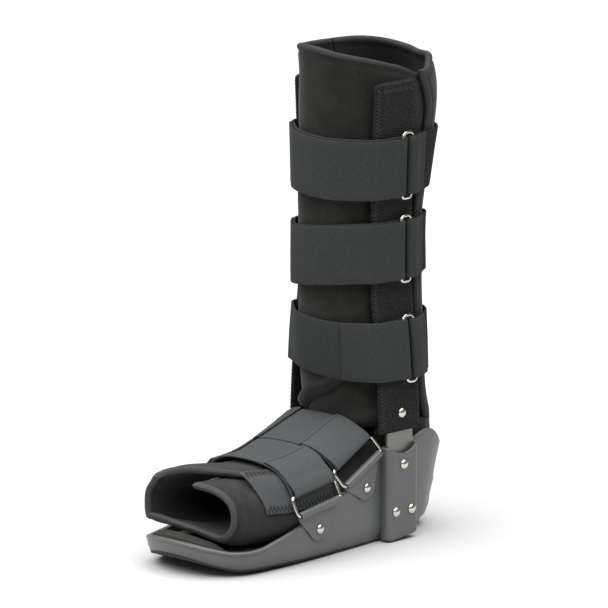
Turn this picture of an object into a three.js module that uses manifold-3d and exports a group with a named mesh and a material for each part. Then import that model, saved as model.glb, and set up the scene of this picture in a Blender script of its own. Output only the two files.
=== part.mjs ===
// A tall medical walking boot: a rocker-soled plastic base with a heel counter, two aluminium
// uprights in side brackets, a padded fabric liner, three leg straps and two foot straps on wire rings.
// Millimetres. +Z is up, the toe points to -Y, and the origin is on the ground between the uprights.
import * as THREE from "three";
import { mergeVertices } from "three/addons/utils/BufferGeometryUtils.js";
import Module from "manifold-3d";

const wasm = await Module();
wasm.setup();

// Driving dimensions

const clearance = 0.4; // between pieces that touch
const baseLength = 304; // toe tip to heel back
const baseFront = 223; // from the uprights' centre line to the toe tip
const baseWidth = 116;
const rockerStart = 15; // in front of the origin, where the sole begins to rise
const rockerRise = 4.5; // gentle rise from there to the toe
const toeKick = 11; // further rise over the last stretch of the toe
const toeKickLength = 40;
const heelSpring = 3;
const heelSpringLength = 45;
const toeRound = 58; // length of the rounded toe in plan
const heelRound = 50;
const outsoleThickness = 4.4;
const outsoleInset = 3;
const shellFloor = 3.5;
const shellWall = 3;
const shellChine = 5; // height of the rounded lower edge
const heelLean = 8; // how far the heel counter's top stands out beyond its foot
const heelTuck = 7; // how far the heel's lower edge is drawn in under that
const wallHeight = 90; // ground to the top of the heel counter's lobes
const insoleThickness = 6;
const insoleInset = 1.5;

const bracketWidth = 38;
const bracketDepth = 10; // how far it stands out from the base's wall
const bracketPlate = 2.5;
const bracketCorner = 5;
const bracketFoot = 0.6; // ground to its lower edge
const bracketTop = 82;
const scoopRadius = 22;
const scoopDepth = 6;

const strutWidth = 31;
const strutThickness = 3.2;
const strutFoot = 8;
const strutTop = 384;
const coverWidth = 50;
const coverFabric = 1.7;
const coverFoot = 94;
const coverTop = 391.5;
const coverHem = 5;

const rivetHead = 9; // diameter
const rivetDome = 2.6;
const rivetShank = 4;
const rivetSides = 8;

const legTop = 423; // the front panel's highest point
const legPanelFoot = 99; // lower edge of the front panel
const legDepth = 120;
const linerWall = 6;
const heelPad = 6;

const toeOpening = -202; // where the liner's foot part starts
const footWidth = 102;
const footHeight = 56; // the liner's top above the insole at the toe
const footBack = -14; // where the foot part ends against the heel part
const flapLift = linerWall + 1.5 * clearance; // between the middles of two lapping layers
const toeSlant = 6; // how far the toe opening's near side lies behind its middle
const nearBox = 0.86; // roundness of the foot's section on the near side: 1 is an ellipse
const nearSwell = 0.1; // how much wider the toe opening is on the near side, as a share
const soleSink = 6; // how far the foot part's round underside is flattened where it lies on the insole

const strapWidth = 50;
const strapThickness = 2;
const patchThickness = 1.4;
const strapClearance = 1.4; // between a strap and what it is wrapped round
const ringWire = 2.8;
const ringLength = 53; // inside, along the strap's width
const legRingWidth = 8.5; // inside, along the strap
const legRingY = 8; // the leg rings' middle
const footRingWidth = 14;
const tabPlate = 1.5;
const tabWidth = 51;
const tabHeight = 29; // from the rolled edge to the rounded lower end
const tabRivetDrop = 19;

// Plan of the base from the toe (0) to the heel (1).
// half and rim are shares of half the base's width and of the wall's height.
const BASE_PLAN = [
  { along: 0.0, half: 0.96, rim: 0.275 },
  { along: 0.04, half: 0.97, rim: 0.225 },
  { along: 0.09, half: 0.98, rim: 0.205 },
  { along: 0.16, half: 0.99, rim: 0.235 },
  { along: 0.23, half: 1.0, rim: 0.295 },
  { along: 0.31, half: 1.0, rim: 0.365 },
  { along: 0.4, half: 0.97, rim: 0.46 },
  { along: 0.5, half: 0.92, rim: 0.57 },
  { along: 0.58, half: 0.88, rim: 0.66 },
  { along: 0.65, half: 0.84, rim: 0.84 },
  { along: 0.7, half: 0.82, rim: 0.91 },
  { along: 0.8, half: 0.81, rim: 0.93 },
  { along: 0.86, half: 0.81, rim: 0.99 },
  { along: 0.9, half: 0.82, rim: 0.96 },
  { along: 0.95, half: 0.82, rim: 0.83 },
  { along: 1.0, half: 0.83, rim: 0.74 },
];

// The uprights' distance from the middle, from the bracket to the top, as a share of their distance
// at the foot. height is a share of strutTop.
const UPRIGHTS = [
  { height: 0.0, spread: 1.0 },
  { height: 0.26, spread: 1.0 },
  { height: 0.42, spread: 0.93 },
  { height: 0.56, spread: 0.82 },
  { height: 0.7, spread: 0.81 },
  { height: 0.85, spread: 0.84 },
  { height: 1.0, spread: 0.89 },
];

// The liner's leg, from the insole to the rim. height is a share of legTop, side a share of the room
// between the uprights, depth a share of half legDepth, and centre a share of legDepth.
const LEG_SECTIONS = [
  { height: 0.04, side: 0.87, depth: 0.72, centre: 0.19 },
  { height: 0.1, side: 0.93, depth: 0.78, centre: 0.18 },
  { height: 0.2, side: 0.98, depth: 0.785, centre: 0.13 },
  { height: 0.29, side: 0.99, depth: 0.8, centre: 0.05 },
  { height: 0.4, side: 0.99, depth: 0.87, centre: 0.02 },
  { height: 0.53, side: 1.0, depth: 0.92, centre: 0.01 },
  { height: 0.64, side: 1.0, depth: 0.92, centre: 0.01 },
  { height: 0.75, side: 1.0, depth: 0.98, centre: 0.05 },
  { height: 0.86, side: 1.0, depth: 1.04, centre: 0.09 },
  { height: 0.93, side: 0.99, depth: 1.02, centre: 0.08 },
  { height: 1.0, side: 0.95, depth: 0.95, centre: 0.02 },
];

// The rim round the leg, in degrees from the near side over the back and once round to the end of
// the front panel. rise is a share of legTop.
const LEG_RIM = [
  { turn: 30, rise: 0.935 },
  { turn: 50, rise: 0.964 },
  { turn: 72, rise: 0.968 },
  { turn: 100, rise: 0.98 },
  { turn: 140, rise: 0.99 },
  { turn: 180, rise: 0.991 },
  { turn: 215, rise: 0.993 },
  { turn: 262, rise: 1.0 },
  { turn: 300, rise: 0.977 },
  { turn: 335, rise: 0.962 },
  { turn: 360, rise: 0.946 },
  { turn: 384, rise: 0.928 },
  { turn: 404, rise: 0.922 },
];

// The liner's foot part. along is a share of the way from the toe opening to the heel part, half a
// share of half footWidth, top a share of footHeight above the insole, gap how far the underside
// hangs clear of the insole, as such a share, and far the roundness of the section's far side: 1 is
// an ellipse, less is boxier.
const FOOT_SECTIONS = [
  { along: 0.0, half: 0.88, top: 1.0, gap: 0.12, far: 0.6 },
  { along: 0.12, half: 0.94, top: 1.03, gap: 0.04, far: 0.62 },
  { along: 0.25, half: 0.97, top: 1.0, gap: 0.01, far: 0.7 },
  { along: 0.35, half: 0.98, top: 0.97, gap: 0.0, far: 0.8 },
  { along: 0.5, half: 0.97, top: 1.0, gap: 0.0, far: 0.75 },
  { along: 0.65, half: 0.94, top: 1.13, gap: 0.0, far: 0.6 },
  { along: 0.87, half: 0.9, top: 1.42, gap: 0.0, far: 0.48 },
  { along: 1.0, half: 0.87, top: 1.58, gap: 0.0, far: 0.48 },
];

// The foot part's edges round the section, in degrees from the near side upwards.
// The far flap lies over the near one, and near the toe it stops short of it.
const FLAP_EDGES = [
  { along: 0.0, farEdge: 128, nearEdge: 86, droop: 1 },
  { along: 0.08, farEdge: 102, nearEdge: 86, droop: 0.8 },
  { along: 0.17, farEdge: 76, nearEdge: 88, droop: 0.4 },
  { along: 0.3, farEdge: 62, nearEdge: 90, droop: 0 },
  { along: 1.0, farEdge: 60, nearEdge: 90, droop: 0 },
];
const patchFrontTop = -170; // the toe patch's front edge, on top of the foot
const patchFrontFoot = -167; // and low on the near side
const patchBack = -82;
const patchTurns = { top: 68, foot: 5 }; // degrees from the near side upwards
const flapDroop = 2; // how far the near flap's free end sinks at the toe

// The leg straps. middle is the height of the middle line as a share of legTop, farRise how much
// higher it runs on the far side, and end the share of the way round where the free end stops.
const LEG_STRAPS = [
  { name: "top", middle: 0.757, farRise: 7, end: 0.36 },
  { name: "middle", middle: 0.589, farRise: -5, end: 0.4 },
  { name: "lower", middle: 0.389, farRise: 7, end: 0.755 },
];

// The foot straps. y and z place the tab's rolled edge, tilt is its slope in degrees, and end the
// share of the way over the foot where the free end stops.
const FOOT_STRAPS = [
  { name: "front", y: -105.5, z: 46.5, tilt: 7, end: 0.44 },
  { name: "rear", y: -47.5, z: 68.5, tilt: 24, end: 0.34 },
];

// A tab's outline from its rounded lower end to the rolled edge, as shares of its height and width.
const TAB_OUTLINE = [
  { height: 0.0, half: 0.14 },
  { height: 0.04, half: 0.24 },
  { height: 0.13, half: 0.35 },
  { height: 0.3, half: 0.5 },
  { height: 0.82, half: 0.96 },
  { height: 1.0, half: 1.0 },
];

// Materials

const finish = (color, roughness, metalness = 0) =>
  new THREE.MeshStandardMaterial({ color, roughness, metalness });
const rubber = finish("#17181a", 0.85);
const plastic = finish("#3b3e40", 0.5);
const foam = finish("#3a372f", 0.95);
const fleece = finish("#1b1c1d", 1);
const loopPile = finish("#161718", 1);
const webbing = finish("#35383b", 0.9);
const aluminium = finish("#8a8c88", 0.45, 0.8);
const steel = finish("#d6cfc0", 0.25, 1);

// Tables and curves

const lerp = (a, b, t) => a + (b - a) * t;
const clamp01 = (t) => Math.min(1, Math.max(0, t));
const smooth = (t) => clamp01(t) ** 2 * (3 - 2 * clamp01(t));

// One column of a table at a value of its key column, through a cubic with averaged slopes.
function read(table, key, name, at) {
  const last = table.length - 1;
  const x = Math.min(table[last][key], Math.max(table[0][key], at));
  let i = 0;
  while (i < last - 1 && table[i + 1][key] < x) i++;
  const slope = (j) => {
    const a = table[Math.max(0, j - 1)];
    const b = table[Math.min(last, j + 1)];
    return (b[name] - a[name]) / (b[key] - a[key]);
  };
  const width = table[i + 1][key] - table[i][key];
  const t = (x - table[i][key]) / width;
  const [t2, t3] = [t * t, t * t * t];
  return (
    (2 * t3 - 3 * t2 + 1) * table[i][name] +
    (t3 - 2 * t2 + t) * width * slope(i) +
    (3 * t2 - 2 * t3) * table[i + 1][name] +
    (t3 - t2) * width * slope(i + 1)
  );
}

// Signed power, which turns a circle's sine and cosine into a superellipse's.
const power = (v, p) => Math.sign(v) * Math.abs(v) ** p;

// The convex hull of points in a plane, anticlockwise.
function hull(points) {
  const sorted = [...points].sort((a, b) => a.x - b.x || a.y - b.y);
  const half = (list) => {
    const chain = [];
    for (const p of list) {
      while (chain.length > 1) {
        const [a, b] = chain.slice(-2);
        if ((b.x - a.x) * (p.y - a.y) - (b.y - a.y) * (p.x - a.x) > 1e-9) break;
        chain.pop();
      }
      chain.push(p);
    }
    return chain.slice(0, -1);
  };
  return [...half(sorted), ...half(sorted.reverse())];
}

// A taut line through plane points, read by the distance along it and the distance off it. Off is
// on the right of the way along it, which is outwards on an anticlockwise loop, and corners are mitred.
function track(points, closed) {
  const list = closed ? [...points, points[0]] : points;
  const end = list.length - 1;
  const at = [0];
  for (let i = 1; i <= end; i++) at.push(at[i - 1] + list[i].distanceTo(list[i - 1]));
  const length = at[end];
  const right = (a, b) => new THREE.Vector2(b.y - a.y, a.x - b.x).normalize();
  const mitres = list.map((p, i) => {
    const before = i > 0 ? list[i - 1] : list[end - 1];
    const after = i < end ? list[i + 1] : list[1];
    const a = i > 0 || closed ? right(before, p) : right(p, after);
    const b = i < end || closed ? right(p, after) : right(before, p);
    const sum = a.clone().add(b);
    return sum.multiplyScalar(2 / sum.lengthSq());
  });
  const place = (s, off = 0) => {
    const d = closed ? ((s % length) + length) % length : s;
    let i = 1;
    while (i < end && at[i] < d) i++;
    const t = (d - at[i - 1]) / (at[i] - at[i - 1]);
    const [from, to] = [i - 1, i].map((k) => list[k].clone().addScaledVector(mitres[k], off));
    return from.lerp(to, t);
  };
  return { length, stops: at.map((d) => d / length), place };
}

// The corners of several lines as shares of their lengths, without near repeats.
function sharedStops(lines) {
  const kept = [];
  for (const stop of lines.flatMap((line) => line.stops).sort((a, b) => a - b))
    if (kept.length === 0 || stop - kept[kept.length - 1] > 0.005) kept.push(stop);
  return kept.slice(1, -1);
}

// Those of the stops that keep a distance from the start and from the end of even the shortest line.
const inside = (stops, lines, fromStart, fromEnd) => {
  const shortest = Math.min(...lines.map((line) => line.length));
  return stops.filter((stop) => stop * shortest > fromStart && (1 - stop) * shortest > fromEnd);
};

// Solids

// A closed mesh from points and triangles, turned so that its faces point outwards.
function meshFrom(points, faces) {
  const position = new Float32Array(points.flatMap((p) => [p.x, p.y, p.z]));
  let volume = 0;
  for (const [a, b, c] of faces) volume += points[a].dot(points[b].clone().cross(points[c]));
  const index = volume < 0 ? faces.map(([a, b, c]) => [a, c, b]) : faces;
  const geometry = new THREE.BufferGeometry();
  geometry.setAttribute("position", new THREE.BufferAttribute(position, 3));
  geometry.setIndex(index.flat());
  return geometry;
}

// A sheet with thickness between two grids of points, closed along its four edges.
function slab(outer, inner) {
  const rows = outer.length;
  const cols = outer[0].length;
  const points = [...outer.flat(), ...inner.flat()];
  const o = (r, c) => r * cols + c;
  const n = (r, c) => rows * cols + r * cols + c;
  const faces = [];
  const quad = (a, b, c, d) => faces.push([a, b, c], [a, c, d]);
  for (let r = 0; r < rows - 1; r++) {
    for (let c = 0; c < cols - 1; c++) {
      quad(o(r, c), o(r, c + 1), o(r + 1, c + 1), o(r + 1, c));
      quad(n(r, c), n(r + 1, c), n(r + 1, c + 1), n(r, c + 1));
    }
    quad(o(r, 0), o(r + 1, 0), n(r + 1, 0), n(r, 0));
    quad(o(r, cols - 1), n(r, cols - 1), n(r + 1, cols - 1), o(r + 1, cols - 1));
  }
  for (let c = 0; c < cols - 1; c++) {
    quad(o(0, c), n(0, c), n(0, c + 1), o(0, c + 1));
    quad(o(rows - 1, c), o(rows - 1, c + 1), n(rows - 1, c + 1), n(rows - 1, c));
  }
  return meshFrom(points, faces);
}

// A ribbon of even thickness whose rows of centre points run side by side.
function ribbon(rows, thickness) {
  const grids = [[], []];
  rows.forEach((row, r) => {
    const across = rows[Math.min(rows.length - 1, r + 1)];
    const before = rows[Math.max(0, r - 1)];
    const sides = [[], []];
    row.forEach((p, c) => {
      const ahead = row[Math.min(row.length - 1, c + 1)].clone();
      const along = ahead.sub(row[Math.max(0, c - 1)]);
      const normal = along.cross(across[c].clone().sub(before[c])).normalize();
      sides[0].push(p.clone().addScaledVector(normal, thickness / 2));
      sides[1].push(p.clone().addScaledVector(normal, -thickness / 2));
    });
    grids[0].push(sides[0]);
    grids[1].push(sides[1]);
  });
  return slab(grids[0], grids[1]);
}

// A solid through loops of equal length, closed by fans at both ends.
function loft(loops) {
  const count = loops[0].length;
  const points = loops.flat();
  const faces = [];
  for (let k = 0; k < loops.length - 1; k++)
    for (let i = 0; i < count; i++) {
      const j = (i + 1) % count;
      const [a, b] = [k * count + i, k * count + j];
      faces.push([a, b, b + count], [a, b + count, a + count]);
    }
  const close = (k, flip) => {
    const contour = loops[k].map((_, i) => k * count + i);
    for (let i = 1; i < count - 1; i++) {
      const face = [contour[0], contour[i], contour[i + 1]];
      faces.push(flip ? face.reverse() : face);
    }
  };
  close(0, true);
  close(loops.length - 1, false);
  return meshFrom(points, faces);
}

// A round wire bent into a closed loop that lies in one plane.
function wireLoop(centres, normal, radius, sides = 6) {
  const count = centres.length;
  const points = [];
  const faces = [];
  centres.forEach((p, i) => {
    const along = centres[(i + 1) % count].clone().sub(centres[(i + count - 1) % count]).normalize();
    const outward = along.clone().cross(normal).normalize();
    for (let k = 0; k < sides; k++) {
      const turn = ((k + 0.5) / sides) * 2 * Math.PI;
      points.push(
        p.clone()
          .addScaledVector(outward, radius * Math.cos(turn))
          .addScaledVector(normal, radius * Math.sin(turn)),
      );
    }
    for (let k = 0; k < sides; k++) {
      const [a, b] = [i * sides + k, i * sides + ((k + 1) % sides)];
      const [c, d] = [a, b].map((v) => (v + sides) % (count * sides));
      faces.push([a, b, d], [a, d, c]);
    }
  });
  return meshFrom(points, faces);
}

function toSolid(geometry) {
  const bare = geometry.clone();
  bare.deleteAttribute("normal");
  bare.deleteAttribute("uv");
  const merged = mergeVertices(bare, 1e-4);
  return new wasm.Manifold(
    new wasm.Mesh({
      numProp: 3,
      vertProperties: merged.attributes.position.array,
      triVerts: new Uint32Array(merged.index.array),
    }),
  );
}

function toGeometry(solid) {
  const made = solid.getMesh();
  const geometry = new THREE.BufferGeometry();
  geometry.setAttribute("position", new THREE.BufferAttribute(made.vertProperties, 3));
  geometry.setIndex(new THREE.BufferAttribute(made.triVerts, 1));
  return geometry;
}

const cut = (geometry, ...tools) =>
  toGeometry(tools.reduce((solid, tool) => solid.subtract(toSolid(tool)), toSolid(geometry)));

// Base: rocker, plan and heights

const baseBack = baseLength - baseFront;
const alongBase = (y) => (y + baseFront) / baseLength;

function rocker(y) {
  const gentle = clamp01((-y - rockerStart) / (baseFront - rockerStart));
  const kick = clamp01((toeKickLength - (y + baseFront)) / toeKickLength);
  const back = clamp01((y - baseBack + heelSpringLength) / heelSpringLength);
  return rockerRise * gentle + toeKick * kick ** 2 + heelSpring * back ** 2;
}

// The shell's floor follows the rocker at the toe only.
const shellBottomAt = (y) => rocker(Math.min(0, y)) + outsoleThickness + clearance;
const floorAt = (y) => shellBottomAt(y) + shellFloor;
const insoleTopAt = (y) => floorAt(y) + clearance + insoleThickness;
const rimAt = (y) => wallHeight * read(BASE_PLAN, "along", "rim", alongBase(y));

// How much of the heel's lean and tuck applies at a place along the base.
const heelShare = (y) => smooth((y - 5) / (baseBack - 25));

function baseHalfAt(y) {
  const table = (baseWidth / 2) * read(BASE_PLAN, "along", "half", alongBase(y));
  const toe = clamp01((toeRound - (y + baseFront)) / toeRound);
  const heel = clamp01((heelRound - (baseBack - y)) / heelRound);
  return table * (1 - toe ** 2.2) ** (1 / 2.2) * (1 - heel ** 2.3) ** (1 / 2.3);
}

// Stations along the base, closer together where its ends are round.
const BASE_STATIONS = 30;
const baseStations = Array.from({ length: BASE_STATIONS + 1 }, (_, i) => {
  const t = i / BASE_STATIONS;
  const even = 0.45;
  return lerp(-baseFront, baseBack, even * t + (1 - even) * (0.5 - 0.5 * Math.cos(Math.PI * t)));
});

// The right half of the base's outline, moved inwards by an inset, with a height for each station.
function baseRing(insetAt, heightAt) {
  const half = baseStations.map((y) => baseHalfAt(y));
  return baseStations.map((y, i) => {
    const inset = insetAt(y);
    if (i === 0) return new THREE.Vector3(0, y + inset, heightAt(y));
    if (i === BASE_STATIONS) return new THREE.Vector3(0, y - inset, heightAt(y));
    const dx = half[i + 1] - half[i - 1];
    const dy = baseStations[i + 1] - baseStations[i - 1];
    const size = Math.hypot(dx, dy);
    const x = Math.max(0.5, half[i] - (inset * dy) / size);
    return new THREE.Vector3(x, y + (inset * dx) / size, heightAt(y));
  });
}

// A solid through such rings, mirrored to the left, and closed by rungs across its first and last ring.
function baseSolid(rings) {
  const last = BASE_STATIONS;
  const count = 2 * last;
  const points = rings.flatMap((ring) => [
    ...ring,
    ...ring.slice(1, last).reverse().map((p) => new THREE.Vector3(-p.x, p.y, p.z)),
  ]);
  const faces = [];
  for (let k = 0; k < rings.length - 1; k++)
    for (let i = 0; i < count; i++) {
      const [a, b] = [k * count + i, k * count + ((i + 1) % count)];
      faces.push([a, b, b + count], [a, b + count, a + count]);
    }
  const rungs = (k, flip) => {
    const right = (i) => k * count + i;
    const left = (i) => k * count + count - i;
    const add = (face) => faces.push(flip ? face.reverse() : face);
    add([right(0), right(1), left(1)]);
    for (let i = 1; i < last - 1; i++) {
      add([right(i), right(i + 1), left(i + 1)]);
      add([right(i), left(i + 1), left(i)]);
    }
    add([right(last - 1), right(last), left(last - 1)]);
  };
  rungs(0, true);
  rungs(rings.length - 1, false);
  return meshFrom(points, faces);
}

function outsole() {
  const inset = (y) => outsoleInset + (heelLean + heelTuck) * heelShare(y);
  return baseSolid([
    baseRing((y) => inset(y) + 1.5, rocker),
    baseRing(inset, (y) => rocker(y) + 1.2),
    baseRing(inset, (y) => rocker(Math.min(0, y)) + outsoleThickness),
  ]);
}

function shellBlank() {
  const lean = (y) => heelLean * heelShare(y);
  const tuck = (y) => (heelLean + heelTuck) * heelShare(y);
  return baseSolid([
    baseRing((y) => 2.5 + tuck(y), shellBottomAt),
    baseRing(lean, (y) => shellBottomAt(y) + lerp(shellChine, 3 * shellChine, heelShare(y))),
    baseRing(() => 0, rimAt),
    baseRing(() => shellWall, rimAt),
    baseRing((y) => shellWall + lean(y), floorAt),
  ]);
}

function insole() {
  const inset = (y) => shellWall + insoleInset + heelLean * heelShare(y);
  return baseSolid([
    baseRing(inset, (y) => floorAt(y) + clearance),
    baseRing(inset, (y) => insoleTopAt(y) - 1),
    baseRing((y) => inset(y) + 1, insoleTopAt),
  ]);
}

// Uprights: where their centre line runs, on the side given by +1 (near) or -1 (far)

const wallOuter = baseHalfAt(0);
const strutInner = wallOuter + clearance + (bracketDepth - bracketPlate - strutThickness) / 2;
const strutX = (z) =>
  (strutInner + strutThickness / 2) * read(UPRIGHTS, "height", "spread", z / strutTop);
const strutLevels = [0.26, 0.34, 0.42, 0.49, 0.56, 0.63, 0.7, 0.85].map((share) => share * strutTop);
const coverThickness = strutThickness + 2 * (coverFabric + clearance);

// A bar's rectangle at one height.
function barLoop(side, z, halfX, halfY) {
  const corners = [[-1, -1], [1, -1], [1, 1], [-1, 1]];
  return corners.map(([i, j]) => {
    const x = side * (strutX(z) + i * halfX);
    return new THREE.Vector3(x, j * halfY, z);
  });
}

function strutBlank(side) {
  const levels = [strutFoot, ...strutLevels, strutTop];
  return loft(levels.map((z) => barLoop(side, z, strutThickness / 2, strutWidth / 2)));
}

// The cover is a flat sleeve: two fabrics that lie on the bar and meet at their side edges.
function coverLoop(side, z, inside) {
  const halfX = inside ? strutThickness / 2 + clearance : coverThickness / 2;
  const flat = strutWidth / 2 + clearance;
  const edge = inside ? flat : coverWidth / 2;
  const edgeX = inside ? halfX : coverFabric;
  const outline = [
    [-halfX, -flat], [-edgeX, -edge], [edgeX, -edge], [halfX, -flat],
    [halfX, flat], [edgeX, edge], [-edgeX, edge], [-halfX, flat],
  ];
  const used = inside ? [0, 3, 4, 7].map((i) => outline[i]) : outline;
  return used.map(([x, y]) => new THREE.Vector3(side * (strutX(z) + x), y, z));
}

function coverBlank(side) {
  const outer = loft([coverFoot, ...strutLevels, coverTop].map((z) => coverLoop(side, z, false)));
  const levels = [coverFoot - 1, ...strutLevels, coverTop - coverHem];
  return cut(outer, loft(levels.map((z) => coverLoop(side, z, true))));
}

// A channel over the upright's foot, with rounded corners and a scooped top.
function bracketBlank(side) {
  const face = wallOuter + clearance + bracketDepth;
  const outline = (x, half, corner) => {
    const arc = (sign) =>
      [0, 0.25, 0.5, 0.75, 1].map((t) => {
        const turn = (Math.PI / 2) * t;
        const px = x - corner + corner * Math.sin(turn);
        return [px, sign * (half - corner + corner * Math.cos(turn))];
      });
    const foot = (sign) => [baseHalfAt(sign * half) + 1.5 * clearance, sign * half];
    return [foot(-1), ...arc(-1), ...arc(1).reverse(), foot(1)];
  };
  const outer = outline(face, bracketWidth / 2, bracketCorner);
  const inner = outline(face - bracketPlate, bracketWidth / 2 - bracketPlate, bracketCorner - bracketPlate);
  const shape = new THREE.Shape([...outer, ...inner.reverse()].map(([x, y]) => new THREE.Vector2(x, y)));
  const height = bracketTop - bracketFoot;
  const channel = new THREE.ExtrudeGeometry(shape, { depth: height, bevelEnabled: false });
  channel.translate(0, 0, bracketFoot);
  const scoop = new THREE.CylinderGeometry(scoopRadius, scoopRadius, 6 * bracketDepth, 24);
  scoop.rotateZ(Math.PI / 2);
  scoop.translate(face, 0, bracketTop + scoopRadius - scoopDepth);
  const made = cut(channel, scoop);
  return side > 0 ? made : mirrored(made);
}

// The same geometry on the other side of the boot.
function mirrored(geometry) {
  const copy = geometry.clone();
  copy.scale(-1, 1, 1);
  const index = copy.index.array;
  for (let i = 0; i < index.length; i += 3) [index[i + 1], index[i + 2]] = [index[i + 2], index[i + 1]];
  return copy;
}

// Rivets: a domed head on a shank that passes through what it holds

function alignTo(geometry, point, direction) {
  const turn = new THREE.Quaternion().setFromUnitVectors(new THREE.Vector3(0, 1, 0), direction);
  geometry.applyQuaternion(turn);
  return geometry.translate(point.x, point.y, point.z);
}

function rivet(point, direction, depth) {
  const half = rivetHead / 2;
  const dome = (rivetDome * rivetDome + half * half) / (2 * rivetDome);
  const rise = Math.asin(half / dome);
  const profile = [new THREE.Vector2(0, -depth), new THREE.Vector2(rivetShank / 2, -depth)];
  profile.push(new THREE.Vector2(rivetShank / 2, clearance), new THREE.Vector2(half, clearance));
  for (const t of [0.7, 0.4]) {
    const y = dome * Math.cos(rise * t) - dome + rivetDome;
    profile.push(new THREE.Vector2(dome * Math.sin(rise * t), y + clearance));
  }
  profile.push(new THREE.Vector2(0, rivetDome + clearance));
  const made = mergeVertices(bareLathe(profile), 1e-4);
  return alignTo(made, point, direction);
}

function bareLathe(profile) {
  const made = new THREE.LatheGeometry(profile, rivetSides);
  made.deleteAttribute("normal");
  made.deleteAttribute("uv");
  return made;
}

function drill(point, direction, depth) {
  const hole = rivetShank / 2 + clearance / 2;
  const made = new THREE.CylinderGeometry(hole, hole, 2 * depth, rivetSides);
  return alignTo(made, point, direction);
}

const outward = (side) => new THREE.Vector3(side, 0, 0);
const bracketFaceX = wallOuter + clearance + bracketDepth;

// Where the bracket's rivets sit on its face: one above, two below.
const bracketRivets = (side) =>
  [[0, 66], [-9.5, 26], [9.5, 26]].map(([y, z]) => new THREE.Vector3(side * bracketFaceX, y, z));
const bracketRivetDepth = bracketDepth + clearance + shellWall / 2;

const coverRivetZ = 110;
const coverRivetPoint = (side) =>
  new THREE.Vector3(side * (strutX(coverRivetZ) + coverThickness / 2), 0, coverRivetZ);
const coverRivetDepth = coverThickness - coverFabric - clearance;

// Liner: leg and foot surfaces

// Half the room for the liner: between the shell's walls below, and between the covers above.
function sideRoom(z) {
  const low = wallOuter - shellWall - clearance;
  const high = strutX(z) - coverThickness / 2 - clearance;
  return lerp(low, high, smooth((z - (bracketTop + 8)) / 16));
}

const legHalf = (z) => sideRoom(z) * read(LEG_SECTIONS, "height", "side", z / legTop);
const legReach = (z) => (legDepth / 2) * read(LEG_SECTIONS, "height", "depth", z / legTop);
const legCentre = (z) => legDepth * read(LEG_SECTIONS, "height", "centre", z / legTop);

// A point of the leg's surface. The angle runs from the near side (0) over the back (90).
function legPoint(degrees, z, offset = 0) {
  const turn = THREE.MathUtils.degToRad(degrees);
  const x = (legHalf(z) + offset) * power(Math.cos(turn), 0.78);
  const y = legCentre(z) + (legReach(z) + offset) * power(Math.sin(turn), 0.9);
  return new THREE.Vector3(x, y, z);
}

const alongFoot = (y) => (y - toeOpening) / (footBack - toeOpening);

// A point of the foot part's outer surface. The angle runs from the near side (0) over the top (90).
// The toe opening lies further forward on the far side.
function footPoint(degrees, y, offset = 0) {
  const share = alongFoot(y);
  const turn = THREE.MathUtils.degToRad(degrees);
  const far = read(FOOT_SECTIONS, "along", "far", share);
  const box = lerp(far, nearBox, smooth(0.5 + Math.cos(turn) / 1.6));
  const half = (footWidth / 2) * read(FOOT_SECTIONS, "along", "half", share);
  const gap = footHeight * read(FOOT_SECTIONS, "along", "gap", share);
  const floor = insoleTopAt(y) + 2 * clearance + gap;
  const top = floor - gap + footHeight * read(FOOT_SECTIONS, "along", "top", share);
  const middle = (floor - soleSink + top) / 2;
  const wide = half * (Math.cos(turn) > 0 ? 1 + nearSwell * (1 - share) : 1);
  const x = (wide + offset) * power(Math.cos(turn), box);
  const upper = Math.sin(turn) > 0 ? box : nearBox;
  const z = middle + ((top - floor + soleSink) / 2 + offset) * power(Math.sin(turn), upper);
  const slant = toeSlant * (1 - share) * Math.cos(turn);
  return new THREE.Vector3(x, y + slant, Math.max(z, floor + Math.max(0, -offset)));
}

const farEdgeAt = (y) => read(FLAP_EDGES, "along", "farEdge", alongFoot(y));
const nearEdgeAt = (y) => read(FLAP_EDGES, "along", "nearEdge", alongFoot(y));

// How far the far flap stands off the foot's surface: it climbs over the near flap.
const flapLiftAt = (degrees) => flapLift * smooth((150 - degrees) / 45);

// The foot part is one padded strip, wound from the near flap's end under the foot and over to
// the far flap's end.
function footStrip() {
  const turns = 26;
  const rows = 9;
  const outer = [];
  const inner = [];
  for (let r = 0; r <= rows; r++) {
    const y = lerp(toeOpening, footBack, r / rows);
    const start = nearEdgeAt(y);
    const end = farEdgeAt(y) - 360;
    const droop = flapDroop * read(FLAP_EDGES, "along", "droop", alongFoot(y));
    const sides = [[], []];
    for (let c = 0; c <= turns; c++) {
      const degrees = lerp(start, end, c / turns);
      const over = degrees < -180 ? flapLiftAt(degrees + 360) : 0;
      const sink = droop * smooth(1 - (start - degrees) / 60);
      sides[0].push(footPoint(degrees, y, over - sink));
      sides[1].push(footPoint(degrees, y, over - sink - linerWall));
    }
    outer.push(sides[0]);
    inner.push(sides[1]);
  }
  return slab(outer, inner);
}

// The solid inside the leg's surface between two heights, grown by an offset.
function legVolume(low, high, offset) {
  const levels = 4;
  const loops = [];
  for (let k = 0; k <= levels; k++) {
    const z = lerp(low, high, k / levels);
    loops.push(Array.from({ length: 36 }, (_, i) => legPoint(i * 10, z, offset)));
  }
  return loft(loops);
}

function footWrap() {
  const seam = clearance;
  return cut(footStrip(), legVolume(legPanelFoot - seam, legPanelFoot + 90, seam));
}

// The solid inside the foot part's surface, which the leg's front panel stops against.
function footVolume(offset) {
  const rows = 8;
  const loops = [];
  for (let r = 0; r <= rows; r++) {
    const y = lerp(toeOpening, footBack, r / rows);
    loops.push(Array.from({ length: 36 }, (_, i) => footPoint(i * 10, y, offset)));
  }
  return loft(loops);
}

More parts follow.
